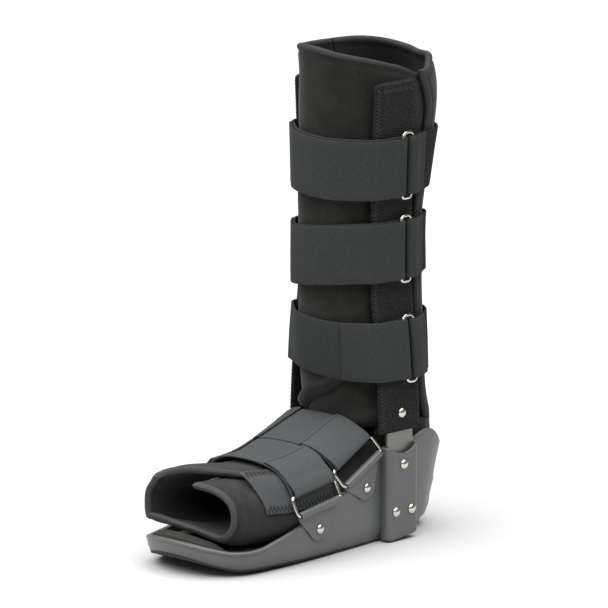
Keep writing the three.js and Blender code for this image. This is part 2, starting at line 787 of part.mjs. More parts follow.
// Where the leg's panels bend: both use the same angles and heights, so that they lie in each other.
const nearOverlap = { back: 30, front: 44, full: 50, end: 78 }; // degrees
const farSeam = 176;
const tenths = (from, to) => Array.from({ length: (to - from) / 10 + 1 }, (_, i) => from + 10 * i);
const frontTurns = [farSeam + 0.6, ...tenths(180, 400), 360 + nearOverlap.front];
const backTurns = [...tenths(nearOverlap.back, 170), farSeam];
const panelLevels = [112, 145, 185, 225, 265, 305, 340, 365, 384];
const rimHeight = (degrees) => legTop * read(LEG_RIM, "turn", "rise", degrees);

// A panel from rows of heights, each with its own angles, and an offset for each point.
function legPanel(rows, offsetAt) {
  const grid = (depth) =>
    rows.map(({ z, turns }) =>
      turns.map((degrees) => {
        const height = z ?? rimHeight(degrees);
        return legPoint(degrees, height, offsetAt(degrees, height) - depth);
      }),
    );
  return slab(grid(0), grid(linerWall));
}

function frontPanel() {
  const rows = [legPanelFoot, ...panelLevels, undefined].map((z) => ({ z, turns: frontTurns }));
  return legPanel(rows, () => 0);
}

// The back panel, which is closed round the heel below and laps over the front panel's near end above.
function backPanel() {
  const low = insoleTopAt(0) + clearance;
  const step = legPanelFoot - clearance;
  const ledge = 1.5;
  const heelRows = [low, 40, 64, 84, step - ledge].map((z) => {
    const reach = (legCentre(z) - footBack - clearance) / legReach(z);
    const seam = THREE.MathUtils.radToDeg(Math.asin(Math.min(1, reach) ** (1 / 0.9)));
    const first = backTurns[0];
    const span = farSeam - first;
    return { z, turns: backTurns.map((turn) => lerp(-seam, 180 + seam, (turn - first) / span)) };
  });
  const legRows = [step, ...panelLevels, undefined].map((z) => ({ z, turns: backTurns }));
  const lap = (degrees, z) =>
    z < step ? 0 : flapLift * smooth((nearOverlap.end - degrees) / (nearOverlap.end - nearOverlap.full));
  const wall = legPanel([...heelRows, ...legRows], lap);
  const inside = 1;
  const foot = heelRows[0].turns;
  const pad = loft([low, low + heelPad].map((z) => foot.map((turn) => legPoint(turn, z, -inside))));
  return toGeometry(toSolid(wall).add(toSolid(pad)));
}

// Straps

// The line round the leg at one height of a stretched strap over the liner and both covers,
// read by the distance from the rings backwards.
function legLine(z) {
  const points = [];
  for (const turn of tenths(0, 350)) {
    const lap = turn < nearOverlap.end ? flapLift : 0;
    const p = legPoint(turn, z, turn >= nearOverlap.back ? lap : 0);
    points.push(new THREE.Vector2(p.x, p.y));
  }
  for (const side of [1, -1])
    for (const p of coverLoop(side, z, false)) points.push(new THREE.Vector2(p.x, p.y));
  const loop = hull(points);
  const after = (i) => loop[(i + 1) % loop.length];
  const i = loop.findIndex((p, k) => p.x > 0 && p.y <= legRingY && after(k).y > legRingY);
  const start = loop[i].clone().lerp(after(i), (legRingY - loop[i].y) / (after(i).y - loop[i].y));
  return track([start, ...loop.slice(i + 1), ...loop.slice(0, i + 1)], true);
}

const loopRadius = ringWire / 2 + 1.4 * clearance + strapThickness / 2; // a strap's centre round a ring's bar
const layerStep = strapThickness + clearance;
const firstLayer = strapClearance + strapThickness / 2;

// Half a turn of a strap round a bar, as distances along and off the strap's line.
function loopRound(s, off, sign, up) {
  return [0, 0.25, 0.5, 0.75, 1].map((t) => {
    const a = Math.PI * (up ? t - 0.5 : 0.5 - t);
    return [s + sign * loopRadius * Math.cos(a), off + loopRadius * (1 + Math.sin(a))];
  });
}

// Where a strap's outer layer settles on its inner one, at a distance from the bar.
const settle = 14;
const outerOff = (off, d) => off + lerp(2 * loopRadius, layerStep, smooth(d / settle));
const sewn = 26; // length of the sewn end
const stopClear = 4; // between a strap's turn round a bar and the nearest corner of its line
const legRingBar = (legRingWidth + ringWire) / 2; // from the ring's middle

// A leg strap's centre line, which starts as a sewn loop on the ring's rear bar, goes once round
// the leg, and folds back over the front bar.
function legStrapRoute(length, round, folded, end) {
  const bar = legRingBar;
  const low = firstLayer;
  const route = [1, 0.55, 0.25].map((t) => [bar + sewn * t, outerOff(low, sewn * t)]);
  route.push(...loopRound(bar, low, -1, false));
  for (const t of round) route.push([t * length, low]);
  route.push(...loopRound(length - bar, low, 1, true));
  for (const d of [0.3, 0.6, 1]) route.push([length - bar - d * settle, outerOff(low, d * settle)]);
  for (const t of [...folded].reverse()) route.push([t * length, low + layerStep]);
  route.push([end * length, low + layerStep]);
  return route;
}

const strapEdges = (strap) =>
  [-0.5, 0.5].map((share) => strap.middle * legTop + share * strapWidth);

// A point off a leg strap's line, raised towards the far side.
function legStrapPoint(strap, z, line, s, off) {
  const p = line.place(s, off);
  const rise = strap.farRise * smooth(0.5 - p.x / (2 * strutX(z)));
  return new THREE.Vector3(p.x, p.y, z + rise);
}

function legStrap(strap) {
  const edges = strapEdges(strap);
  const lines = edges.map(legLine);
  const stops = sharedStops(lines);
  const turned = legRingBar + stopClear;
  const round = inside(stops, lines, turned, turned);
  const folded = inside(stops, lines, turned, turned + settle).filter((t) => t > strap.end + 0.01);
  const rows = lines.map((line, i) =>
    legStrapRoute(line.length, round, folded, strap.end).map(([s, off]) =>
      legStrapPoint(strap, edges[i], line, s, off),
    ),
  );
  return ribbon(rows, strapThickness);
}

// A rectangular wire ring with rounded corners, from its centre and its two directions.
function ring(centre, long, short, longInside, shortInside) {
  const corner = ringWire * 1.2;
  const halfLong = (longInside + ringWire) / 2;
  const halfShort = (shortInside + ringWire) / 2;
  const centres = [];
  for (const [i, j, from] of [[1, 1, 0], [-1, 1, 90], [-1, -1, 180], [1, -1, 270]])
    for (const t of [0, 45, 90]) {
      const a = THREE.MathUtils.degToRad(from + t);
      centres.push(
        centre.clone()
          .addScaledVector(long, i * (halfLong - corner) + corner * Math.cos(a))
          .addScaledVector(short, j * (halfShort - corner) + corner * Math.sin(a)),
      );
    }
  return wireLoop(centres, long.clone().cross(short).normalize(), ringWire / 2);
}

function legRing(strap) {
  const bar = legRingBar;
  const corner = (z, s) => legStrapPoint(strap, z, legLine(z), s, firstLayer + loopRadius);
  const [low, high] = strapEdges(strap).map((z) => ({ front: corner(z, -bar), rear: corner(z, bar) }));
  const centre = low.front.clone().add(low.rear).add(high.front).add(high.rear).multiplyScalar(0.25);
  const long = high.front.clone().add(high.rear).sub(low.front).sub(low.rear).normalize();
  const short = low.rear.clone().add(high.rear).sub(low.front).sub(high.front);
  short.addScaledVector(long, -short.dot(long)).normalize();
  return ring(centre, long, short, ringLength, legRingWidth);
}

// Foot straps, their rings and tabs

// A tab's plane on the base's outer wall: its rolled edge's middle, direction and way up.
function tabFrame(strap) {
  const tilt = THREE.MathUtils.degToRad(strap.tilt);
  const half = tabWidth / 2;
  const ends = [-half, half].map((d) => strap.y + d * Math.cos(tilt));
  const [x1, x2] = ends.map((y) => baseHalfAt(y));
  let bulge = 0;
  for (const t of [0.2, 0.35, 0.5, 0.65, 0.8])
    bulge = Math.max(bulge, baseHalfAt(lerp(ends[0], ends[1], t)) - lerp(x1, x2, t));
  const along = new THREE.Vector3(x2 - x1, ends[1] - ends[0], 0).normalize();
  const out = new THREE.Vector3(along.y, -along.x, 0);
  along.multiplyScalar(Math.cos(tilt)).add(new THREE.Vector3(0, 0, Math.sin(tilt)));
  const up = out.clone().cross(along);
  const wall = new THREE.Vector3((x1 + x2) / 2 + bulge + clearance, strap.y, strap.z);
  return { wall, along, out, up };
}

const curlRadius = ringWire / 2 + clearance + tabPlate / 2;
const tabBar = (frame) => frame.wall.clone().addScaledVector(frame.out, tabPlate / 2 + curlRadius);

// A plate that tapers to a rounded foot, with its top rolled outwards round the ring's bar.
function tab(strap) {
  const frame = tabFrame(strap);
  const profile = [];
  const plateOff = tabPlate / 2;
  for (const { height, half } of TAB_OUTLINE)
    profile.push({ off: plateOff, q: -tabHeight * (1 - height), half: (half * tabWidth) / 2 });
  for (let k = 1; k <= 7; k++) {
    const a = THREE.MathUtils.degToRad(180 - k * 38);
    const off = plateOff + curlRadius + curlRadius * Math.cos(a);
    profile.push({ off, q: curlRadius * Math.sin(a), half: tabWidth / 2 });
  }
  const rows = [-1, 0, 1].map((share) =>
    profile.map(({ off, q, half }) =>
      frame.wall.clone()
        .addScaledVector(frame.out, off)
        .addScaledVector(frame.up, q)
        .addScaledVector(frame.along, share * half),
    ),
  );
  return ribbon(rows, tabPlate);
}

function tabRivetPoint(strap) {
  const frame = tabFrame(strap);
  const point = frame.wall.clone().addScaledVector(frame.out, tabPlate).addScaledVector(frame.up, -tabRivetDrop);
  return { point, direction: frame.out };
}

// The foot's surface as a strap feels it: the far flap's edge is bridged.
function footEnvelope(degrees, y, offset = 0) {
  const edge = farEdgeAt(y);
  const bridge = 45;
  const lift =
    degrees > edge ? flapLiftAt(degrees) : flapLift * smooth((degrees - edge + bridge) / bridge);
  return footPoint(degrees, y, lift + offset);
}

// One line of a foot strap: taut over the foot between the rings' bars, of which the far one is
// given mirrored. It lies in a plane that stands on the strap's tilt, moved along it by a shift.
function footLine(strap, bars, shift) {
  const { along } = tabFrame(strap);
  const [near, far] = bars.map((bar) => bar.clone().addScaledVector(along, shift));
  const tilt = THREE.MathUtils.degToRad(strap.tilt);
  const rise = (z) => (z - near.z) / Math.cos(tilt);
  const skin = [];
  for (let degrees = -20; degrees <= 200; degrees += 10) {
    let p = footEnvelope(degrees, near.y);
    for (let k = 0; k < 6; k++) p = footEnvelope(degrees, near.y - (p.z - near.z) * Math.tan(tilt));
    skin.push(new THREE.Vector2(p.x, rise(p.z)));
  }
  const outline = track(hull(skin), true);
  const off = patchThickness + 3 * clearance + strapClearance + strapThickness / 2;
  const centres = [new THREE.Vector2(near.x, 0), new THREE.Vector2(-far.x, rise(far.z))];
  const over = outline.stops
    .map((stop) => outline.place(stop * outline.length, off))
    .filter((q) => q.y > centres[q.x > 0 ? 0 : 1].y + 2);
  let seats = centres.map((c) => c.clone());
  let ordered = [];
  for (let k = 0; k < 6; k++) {
    const loop = hull([...seats, ...over]);
    const start = loop.indexOf(seats[0]);
    ordered = [...loop.slice(start), ...loop.slice(0, start)];
    const last = ordered.length - 1;
    const ends = [
      ordered[1].clone().sub(ordered[0]).normalize(),
      ordered[last].clone().sub(ordered[last - 1]).normalize(),
    ];
    if (k === 5) break;
    seats = centres.map((c, i) => c.clone().sub(new THREE.Vector2(ends[i].y, -ends[i].x).multiplyScalar(loopRadius)));
  }
  const line = track(ordered, false);
  const lift = (q) =>
    new THREE.Vector3(q.x, near.y - q.y * Math.sin(tilt), near.z + q.y * Math.cos(tilt));
  return { ...line, ordered, place: (s, off) => lift(line.place(s, off)) };
}

// The rings' lean on the near and the far side, found from the pull of the strap's middle line.
function footLayout(strap) {
  const frame = tabFrame(strap);
  const reach = footRingWidth + ringWire;
  const shortAt = (lean) =>
    frame.up.clone().multiplyScalar(Math.cos(lean)).addScaledVector(frame.out, -Math.sin(lean));
  const barsAt = (leans) => leans.map((lean) => tabBar(frame).addScaledVector(shortAt(lean), reach));
  let leans = [0.6, 0.6];
  for (let k = 0; k < 16; k++) {
    const { ordered } = footLine(strap, barsAt(leans), 0);
    const [first, second] = ordered;
    const [before, last] = ordered.slice(-2);
    const pulls = [
      Math.atan2(first.x - second.x, second.y - first.y),
      Math.atan2(before.x - last.x, before.y - last.y),
    ];
    leans = leans.map((lean, i) => (lean + pulls[i]) / 2);
  }
  const bars = barsAt(leans);
  const rings = leans.map((lean) => {
    const centre = tabBar(frame).addScaledVector(shortAt(lean), reach / 2);
    return ring(centre, frame.along, shortAt(lean), ringLength, footRingWidth);
  });
  return { bars, rings };
}

// A foot strap's centre line, which folds back over the near ring's bar, crosses the foot, and
// ends in a sewn loop on the far ring's bar.
function footStrapRoute(length, over, folded, end) {
  const route = [[end * length, layerStep]];
  for (const t of [...folded].reverse()) route.push([t * length, layerStep]);
  for (const d of [1, 0.6, 0.3]) route.push([d * settle, outerOff(0, d * settle)]);
  route.push(...loopRound(0, 0, -1, false));
  for (const t of over) route.push([t * length, 0]);
  route.push(...loopRound(length, 0, 1, true));
  for (const t of [0.25, 0.55, 1]) route.push([length - sewn * t, outerOff(0, sewn * t)]);
  return route;
}

function footStrap(strap, bars) {
  const lines = [-0.5, 0.5].map((share) => footLine(strap, bars, share * strapWidth));
  const stops = sharedStops(lines);
  const over = inside(stops, lines, stopClear, stopClear);
  const folded = inside(stops, lines, settle + stopClear, 0).filter((t) => t < strap.end - 0.02);
  return ribbon(
    lines.map((line) =>
      footStrapRoute(line.length, over, folded, strap.end).map(([s, off]) => line.place(s, off)),
    ),
    strapThickness,
  );
}

// The elastic patch that closes the toe flaps: it lies on the foot, under the front strap.
function toePatch() {
  const rows = Array.from({ length: 7 }, (_, r) =>
    Array.from({ length: 9 }, (_, c) => {
      const down = c / 8;
      const front = lerp(patchFrontTop, patchFrontFoot, down);
      const turn = lerp(patchTurns.top, patchTurns.foot, down);
      return footEnvelope(turn, lerp(front, patchBack, r / 6), 2 * clearance + patchThickness / 2);
    }),
  );
  return ribbon(rows, patchThickness);
}

// Assembly

const boot = new THREE.Group();
const sides = [{ name: "near", side: 1 }, { name: "far", side: -1 }];

function place(parent, name, geometry, material) {
  const mesh = new THREE.Mesh(geometry, material);
  mesh.name = name;
  parent.add(mesh);
}

const base = new THREE.Group();
const uprights = new THREE.Group();
const liner = new THREE.Group();
const straps = new THREE.Group();
boot.add(base, uprights, liner, straps);

const shellHoles = [];
for (const { name, side } of sides) {
  const holes = [];
  bracketRivets(side).forEach((point, i) => {
    holes.push(drill(point, outward(side), bracketRivetDepth + clearance));
    place(uprights, `bracket_rivet_${name}_${i + 1}`, rivet(point, outward(side), bracketRivetDepth), steel);
  });
  shellHoles.push(...holes);
  place(uprights, `bracket_${name}`, cut(bracketBlank(side), ...holes), plastic);
  const coverHole = drill(coverRivetPoint(side), outward(side), coverRivetDepth + clearance);
  place(uprights, `strut_${name}`, cut(strutBlank(side), ...holes, coverHole), aluminium);
  place(uprights, `strut_cover_${name}`, cut(coverBlank(side), coverHole), loopPile);
  const held = rivet(coverRivetPoint(side), outward(side), coverRivetDepth);
  place(uprights, `cover_rivet_${name}`, held, steel);
}

const onSide = (side, geometry) => (side > 0 ? geometry : mirrored(geometry));
for (const strap of FOOT_STRAPS) {
  const { bars, rings } = footLayout(strap);
  sides.forEach(({ name, side }, i) => {
    const { point, direction } = tabRivetPoint(strap);
    const depth = tabPlate + clearance + shellWall / 2;
    const hole = onSide(side, drill(point, direction, depth + clearance));
    shellHoles.push(hole);
    const label = `${strap.name}_${name}`;
    place(straps, `foot_tab_${label}`, cut(onSide(side, tab(strap)), hole), plastic);
    place(straps, `tab_rivet_${label}`, onSide(side, rivet(point, direction, depth)), steel);
    place(straps, `foot_ring_${label}`, onSide(side, rings[i]), steel);
  });
  place(straps, `foot_strap_${strap.name}`, footStrap(strap, bars), webbing);
}
for (const strap of LEG_STRAPS) {
  place(straps, `leg_strap_${strap.name}`, legStrap(strap), webbing);
  place(straps, `leg_ring_${strap.name}`, legRing(strap), steel);
}
place(straps, "toe_patch", toePatch(), webbing);

place(base, "outsole", outsole(), rubber);
place(base, "base_shell", cut(shellBlank(), ...shellHoles), plastic);
place(base, "insole", insole(), foam);

place(liner, "foot_wrap", footWrap(), fleece);
place(liner, "leg_front_panel", cut(frontPanel(), footVolume(clearance)), fleece);
place(liner, "leg_back_panel", backPanel(), fleece);

export default boot;
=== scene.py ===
import bmesh
import bpy
import numpy as np
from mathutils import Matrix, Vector


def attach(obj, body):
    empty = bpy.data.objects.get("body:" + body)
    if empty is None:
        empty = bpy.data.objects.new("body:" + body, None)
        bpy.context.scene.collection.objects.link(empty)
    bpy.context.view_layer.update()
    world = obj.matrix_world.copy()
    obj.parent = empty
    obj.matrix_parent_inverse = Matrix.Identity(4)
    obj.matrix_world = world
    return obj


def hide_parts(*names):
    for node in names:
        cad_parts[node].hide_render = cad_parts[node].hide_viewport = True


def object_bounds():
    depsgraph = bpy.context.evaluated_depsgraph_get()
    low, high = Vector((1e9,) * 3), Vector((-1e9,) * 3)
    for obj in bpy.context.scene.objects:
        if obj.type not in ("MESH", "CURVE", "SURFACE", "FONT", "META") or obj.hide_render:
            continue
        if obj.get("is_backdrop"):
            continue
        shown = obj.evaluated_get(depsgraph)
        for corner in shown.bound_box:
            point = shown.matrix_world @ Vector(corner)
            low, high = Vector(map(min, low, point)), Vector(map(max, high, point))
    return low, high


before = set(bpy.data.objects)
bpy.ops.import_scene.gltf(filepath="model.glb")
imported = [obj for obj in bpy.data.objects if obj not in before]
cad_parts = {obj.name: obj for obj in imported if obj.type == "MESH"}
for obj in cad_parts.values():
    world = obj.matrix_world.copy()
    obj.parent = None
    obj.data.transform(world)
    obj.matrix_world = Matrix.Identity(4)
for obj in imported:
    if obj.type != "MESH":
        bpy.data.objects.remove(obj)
cad_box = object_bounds()

# Camera: a long lens in front of the boot and to its near side, a little above the rim, as a
# catalogue picture is taken, so that uprights stay almost parallel.
MM = 0.001
azimuth, elevation = np.radians([44.0, 11.0])
camera_back = np.array(
    [np.sin(azimuth) * np.cos(elevation), -np.cos(azimuth) * np.cos(elevation), np.sin(elevation)]
)
camera_target = np.array([-56.4, -3.5, 188.9]) * MM
camera_distance = 4.5
picture_pixels, pixels_per_metre = 608, 1170
picture_width = picture_pixels / pixels_per_metre
camera = bpy.data.objects.new("camera", bpy.data.cameras.new("camera"))
bpy.context.scene.collection.objects.link(camera)
camera.location = camera_target + camera_back * camera_distance
camera.rotation_euler = Vector(-camera_back).to_track_quat("-Z", "Y").to_euler()
camera.data.sensor_width = 36.0
camera.data.lens = camera.data.sensor_width * camera_distance / picture_width
camera.data.clip_end = 100.0
bpy.context.scene.camera = camera
bpy.context.scene.view_settings.view_transform = "Standard"


# Studio: a wide pale table under one large soft light overhead and a faint one in front, between
# dim walls, so that the table shows white and upright faces are darker than level ones.
def linear(code):
    """An sRGB hex code as linear RGBA: the low end is a straight line, the rest a 2.4 power."""
    value = np.array([int(code[i : i + 2], 16) for i in (1, 3, 5)]) / 255
    low = value / 12.92
    high = ((value + 0.055) / 1.055) ** 2.4
    return (*np.where(value <= 0.04045, low, high).tolist(), 1.0)


def add(tree, kind, inputs=None, **settings):
    """Adds one node. settings are its own properties; inputs gives each socket, by name or number,
    a value or another node's output to link it to."""
    node = tree.nodes.new(kind)
    for key, value in settings.items():
        setattr(node, key, value)
    for key, value in (inputs or {}).items():
        if isinstance(value, bpy.types.NodeSocket):
            tree.links.new(value, node.inputs[key])
        else:
            node.inputs[key].default_value = value
    return node


def new_material(name):
    """An empty material and its tree, ready for nodes."""
    material = bpy.data.materials.new(name)
    material.use_nodes = True
    material.node_tree.nodes.clear()
    return material, material.node_tree


def end_material(tree, inputs):
    """Ends a material: one shader with the inputs given, joined to the output."""
    shader = add(tree, "ShaderNodeBsdfPrincipled", inputs)
    add(tree, "ShaderNodeOutputMaterial", {"Surface": shader.outputs["BSDF"]})


table_white, tree = new_material("white_table")
end_material(tree, {"Base Color": linear("#bebebe"), "Roughness": 0.9})
table = bpy.data.meshes.new("table")
table_reach = 30.0
corners = np.array([(-1, -1, 0), (1, -1, 0), (1, 1, 0), (-1, 1, 0)]) * table_reach
table.from_pydata(corners.tolist(), [], [(0, 1, 2, 3)])
table.materials.append(table_white)
table_object = bpy.data.objects.new("table", table)
bpy.context.scene.collection.objects.link(table_object)
table_object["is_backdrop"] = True

world = bpy.data.worlds.new("walls")
bpy.context.scene.world = world
world.use_nodes = True
tree = world.node_tree
tree.nodes.clear()
walls = add(tree, "ShaderNodeBackground", {"Color": linear("#ffffff"), "Strength": 0.2})
add(tree, "ShaderNodeOutputWorld", {"Surface": walls.outputs["Background"]})

LAMPS = [("overhead", (0.05, -0.4, 2.6), 6.4, 95), ("front", (0.2, -2.6, 1.5), 0.12, 40)]
for label, place, strength, spread in LAMPS:
    lamp = bpy.data.lights.new(label, "SUN")
    lamp.energy = strength
    lamp.angle = np.radians(spread)
    lamp_object = bpy.data.objects.new(label, lamp)
    lamp_object.rotation_euler = Vector(place).to_track_quat("Z", "Y").to_euler()
    bpy.context.scene.collection.objects.link(lamp_object)


# Base shell: the tray of the boot, injection moulded in dark grey nylon. Its wall rises from a low
# toe to a heel counter with a lobe on each side, its lower edge is rolled in over the sole, and a
# bead runs along the rim.
def columns(names, rows):
    """A short table as a dictionary of named columns."""
    return dict(zip(names.split(), np.array(rows, float).T))


def lerp(a, b, t):
    """The straight blend from a to b."""
    return a + (b - a) * t


def smooth(t):
    """The ease from 0 to 1 that is flat at both ends: three squares less two cubes."""
    t = np.clip(t, 0, 1)
    return t * t * (3 - 2 * t)


def read(table, key, name, at):
    """A column at values of the key column, through a cubic whose slope at a row is that between
    the rows on either side of it."""
    x, y = table[key], table[name]
    at = np.clip(at, x[0], x[-1])
    i = np.clip(np.searchsorted(x, at, side="right") - 1, 0, len(x) - 2)
    before = np.maximum(np.arange(len(x)) - 1, 0)
    after = np.minimum(np.arange(len(x)) + 1, len(x) - 1)
    slope = (y[after] - y[before]) / (x[after] - x[before])
    width = x[i + 1] - x[i]
    t = (at - x[i]) / width
    rise = (2 * t**3 - 3 * t**2 + 1) * y[i] + (3 * t**2 - 2 * t**3) * y[i + 1]
    return rise + width * ((t**3 - 2 * t**2 + t) * slope[i] + (t**3 - t**2) * slope[i + 1])


def points(x, y, z):
    """Coordinates that share one shape, as an array whose last axis is x, y, z."""
    return np.stack(np.broadcast_arrays(x, y, z), -1).astype(float)


def grid_faces(rows, cols, round_rows=False, round_cols=False):
    """The quads between neighbouring points of a grid, which may close on itself either way."""
    r = np.arange(rows if round_rows else rows - 1)
    c = np.arange(cols if round_cols else cols - 1)
    r, c = np.meshgrid(r, c, indexing="ij")
    r2, c2 = (r + 1) % rows, (c + 1) % cols
    return np.stack([r * cols + c, r * cols + c2, r2 * cols + c2, r2 * cols + c], -1).reshape(-1, 4)


def make_piece(name, spots, faces, materials, uv=None, finish=None):
    """A closed piece from points in millimetres and quads, welded where points coincide and turned
    outwards. uv is one pair for each point, in metres; finish numbers each quad's material."""
    mesh = bpy.data.meshes.new(name)
    mesh.from_pydata((np.asarray(spots).reshape(-1, 3) * MM).tolist(), [], faces.tolist())
    for material in materials:
        mesh.materials.append(material)
    if uv is not None:
        layer = mesh.uv_layers.new(name="UVMap")
        corners = np.zeros(len(mesh.loops), np.int32)
        mesh.loops.foreach_get("vertex_index", corners)
        layer.data.foreach_set("uv", uv.reshape(-1, 2)[corners].ravel())
    if finish is not None:
        mesh.polygons.foreach_set("material_index", finish.astype(np.int32))
    mesh.polygons.foreach_set("use_smooth", np.ones(len(faces), bool))
    work = bmesh.new()
    work.from_mesh(mesh)
    bmesh.ops.remove_doubles(work, verts=work.verts, dist=2e-6)
    bmesh.ops.dissolve_degenerate(work, edges=work.edges, dist=1e-7)
    bmesh.ops.recalc_face_normals(work, faces=work.faces)
    work.to_mesh(mesh)
    work.free()
    piece = bpy.data.objects.new(name, mesh)
    bpy.context.scene.collection.objects.link(piece)
    return piece


def dress(piece, slot, *nodes):
    """Fixes a piece to the boot and hides the solids it stands for. Its slot is not used."""
    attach(piece, "root")
    if nodes:
        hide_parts(*nodes)
    return piece


clearance = 0.4
base_length = 304.0
base_front = 223.0
base_back = base_length - base_front
base_width = 116.0
rocker_start, rocker_rise = 15.0, 4.5
toe_kick, toe_kick_length = 11.0, 40.0
heel_spring, heel_spring_length = 3.0, 45.0
toe_round, heel_round = 58.0, 50.0
outsole_thickness, outsole_inset = 4.4, 3.0
shell_floor, shell_wall = 3.5, 3.0
heel_lean, heel_tuck = 8.0, 9.5
heel_start, heel_run_out = 5.0, 25.0
toe_power, heel_power = 2.2, 2.3
wall_height = 90.0
insole_thickness, insole_inset = 6.0, 1.5
BASE_PLAN = columns(
    "along half rim",
    [
        (0.0, 0.96, 0.335),
        (0.04, 0.97, 0.285),
        (0.09, 0.98, 0.245),
        (0.16, 0.99, 0.245),
        (0.23, 1.0, 0.295),
        (0.31, 1.0, 0.365),
        (0.4, 0.97, 0.46),
        (0.5, 0.92, 0.57),
        (0.58, 0.88, 0.66),
        (0.65, 0.84, 0.84),
        (0.7, 0.82, 0.91),
        (0.8, 0.81, 0.93),
        (0.86, 0.81, 0.99),
        (0.9, 0.82, 0.96),
        (0.95, 0.82, 0.83),
        (1.0, 0.83, 0.74),
    ],
)


def rocker(y):
    """The sole's height: a gentle rise to the toe, a square-law kick at the tip, and another at the
    heel."""
    gentle = np.clip((-y - rocker_start) / (base_front - rocker_start), 0, 1)
    kick = np.clip((toe_kick_length - (y + base_front)) / toe_kick_length, 0, 1)
    back = np.clip((y - base_back + heel_spring_length) / heel_spring_length, 0, 1)
    return rocker_rise * gentle + toe_kick * kick**2 + heel_spring * back**2


def shell_bottom(y):
    """The shell's underside, which follows the rocker at the toe only."""
    return rocker(np.minimum(0, y)) + outsole_thickness + clearance


def floor_height(y):
    """The shell's floor."""
    return shell_bottom(y) + shell_floor


def insole_top(y):
    """The insole's upper face."""
    return floor_height(y) + clearance + insole_thickness


def rim_height(y):
    """The shell's rim, from the table."""
    return wall_height * read(BASE_PLAN, "along", "rim", (y + base_front) / base_length)


def heel_share(y):
    """How much of the heel counter's lean applies, from none in front of it to all at the back."""
    return smooth((y - heel_start) / (base_back - heel_run_out))


def base_half(y):
    """Half the base's width: the table, closed at the toe and the heel by superellipses."""
    table_half = base_width / 2 * read(BASE_PLAN, "along", "half", (y + base_front) / base_length)
    toe = np.clip((toe_round - (y + base_front)) / toe_round, 0, 1)
    heel = np.clip((heel_round - (base_back - y)) / heel_round, 0, 1)
    toe_end = (1 - toe**toe_power) ** (1 / toe_power)
    heel_end = (1 - heel**heel_power) ** (1 / heel_power)
    return table_half * toe_end * heel_end


def even_loop(loop, count):
    """A closed line of plane points, set at even distances along it."""
    closed = np.vstack([loop, loop[:1]])
    far = np.concatenate([[0], np.cumsum(np.hypot(*np.diff(closed, axis=0).T))])
    at = np.arange(count) / count * far[-1]
    return np.stack([np.interp(at, far, closed[:, k]) for k in range(2)], -1)


def base_outline(count):
    """The base's plan as a closed loop from the toe, and its outward directions."""
    t = np.linspace(0, 1, 2000)
    y = lerp(-base_front, base_back, 0.5 - 0.5 * np.cos(np.pi * t))
    half = base_half(y)
    right = np.stack([half, y], -1)
    left = np.stack([-half, y], -1)[1:-1][::-1]
    loop = even_loop(np.vstack([right, left]), count)
    ahead = np.roll(loop, -2, axis=0) - np.roll(loop, 2, axis=0)
    out = np.stack([ahead[:, 1], -ahead[:, 0]], -1)
    return loop, out / np.hypot(*out.T)[:, None]


def base_piece(name, profile, materials, count=420):
    """A profile of insets and heights carried round the base's plan, each given as a function of y,
    and closed to the middle line above and below."""
    loop, out = base_outline(count)
    y = loop[:, 1]
    rings = []
    for inset, level in profile:
        spot = loop - out * (np.zeros(count) + inset(y))[:, None]
        rings.append(points(spot[:, 0], spot[:, 1], level(y)))
    first, last = rings[0].copy(), rings[-1].copy()
    first[:, 0] = 0
    last[:, 0] = 0
    grid = np.stack([first, *rings, last])
    return make_piece(name, grid, grid_faces(*grid.shape[:2], round_cols=True), materials)


# Moulded nylon: a satin face with a fine spark-eroded grain and slow shifts of gloss.
moulded_nylon, tree = new_material("moulded_nylon")
spot = add(tree, "ShaderNodeTexCoord").outputs["Object"]
grain_width, drift_scale = 0.9 * MM, 22.0
grain = add(tree, "ShaderNodeTexNoise", {"Vector": spot, "Scale": 1 / grain_width, "Detail": 2.0})
drift = add(tree, "ShaderNodeTexNoise", {"Vector": spot, "Scale": drift_scale, "Detail": 3.0})
tint = add(tree, "ShaderNodeValToRGB", {"Fac": drift.outputs["Fac"]})
tint.color_ramp.elements[0].position = 0.3
tint.color_ramp.elements[0].color = linear("#555756")
tint.color_ramp.elements[1].position = 0.75
tint.color_ramp.elements[1].color = linear("#5d5f5e")
bump = add(tree, "ShaderNodeBump", {"Height": grain.outputs["Fac"], "Strength": 0.12, "Distance": 0.1 * MM})
end_material(
    tree,
    {"Base Color": tint.outputs["Color"], "Normal": bump.outputs["Normal"], "Roughness": 0.36},
)

chine_height, chine_tuck, heel_chine, skirt = 10.5, 2.6, 1.9, 2.4
bead, rim_roll, rim_band = 0.8, 1.9, 4.0
floor_fillet, fillet_sag = 3.0, 0.9


def tuck(y):
    """How far the shell's lower edge is drawn in, more under the heel counter."""
    return chine_tuck + (heel_lean + heel_tuck) * heel_share(y)


def chine_top(y):
    """Where the rolled lower edge meets the wall, higher at the heel."""
    return shell_bottom(y) + chine_height * lerp(1, heel_chine, heel_share(y))


def lean(y):
    """How far the wall stands in at the chine under the heel counter."""
    return heel_lean * heel_share(y)


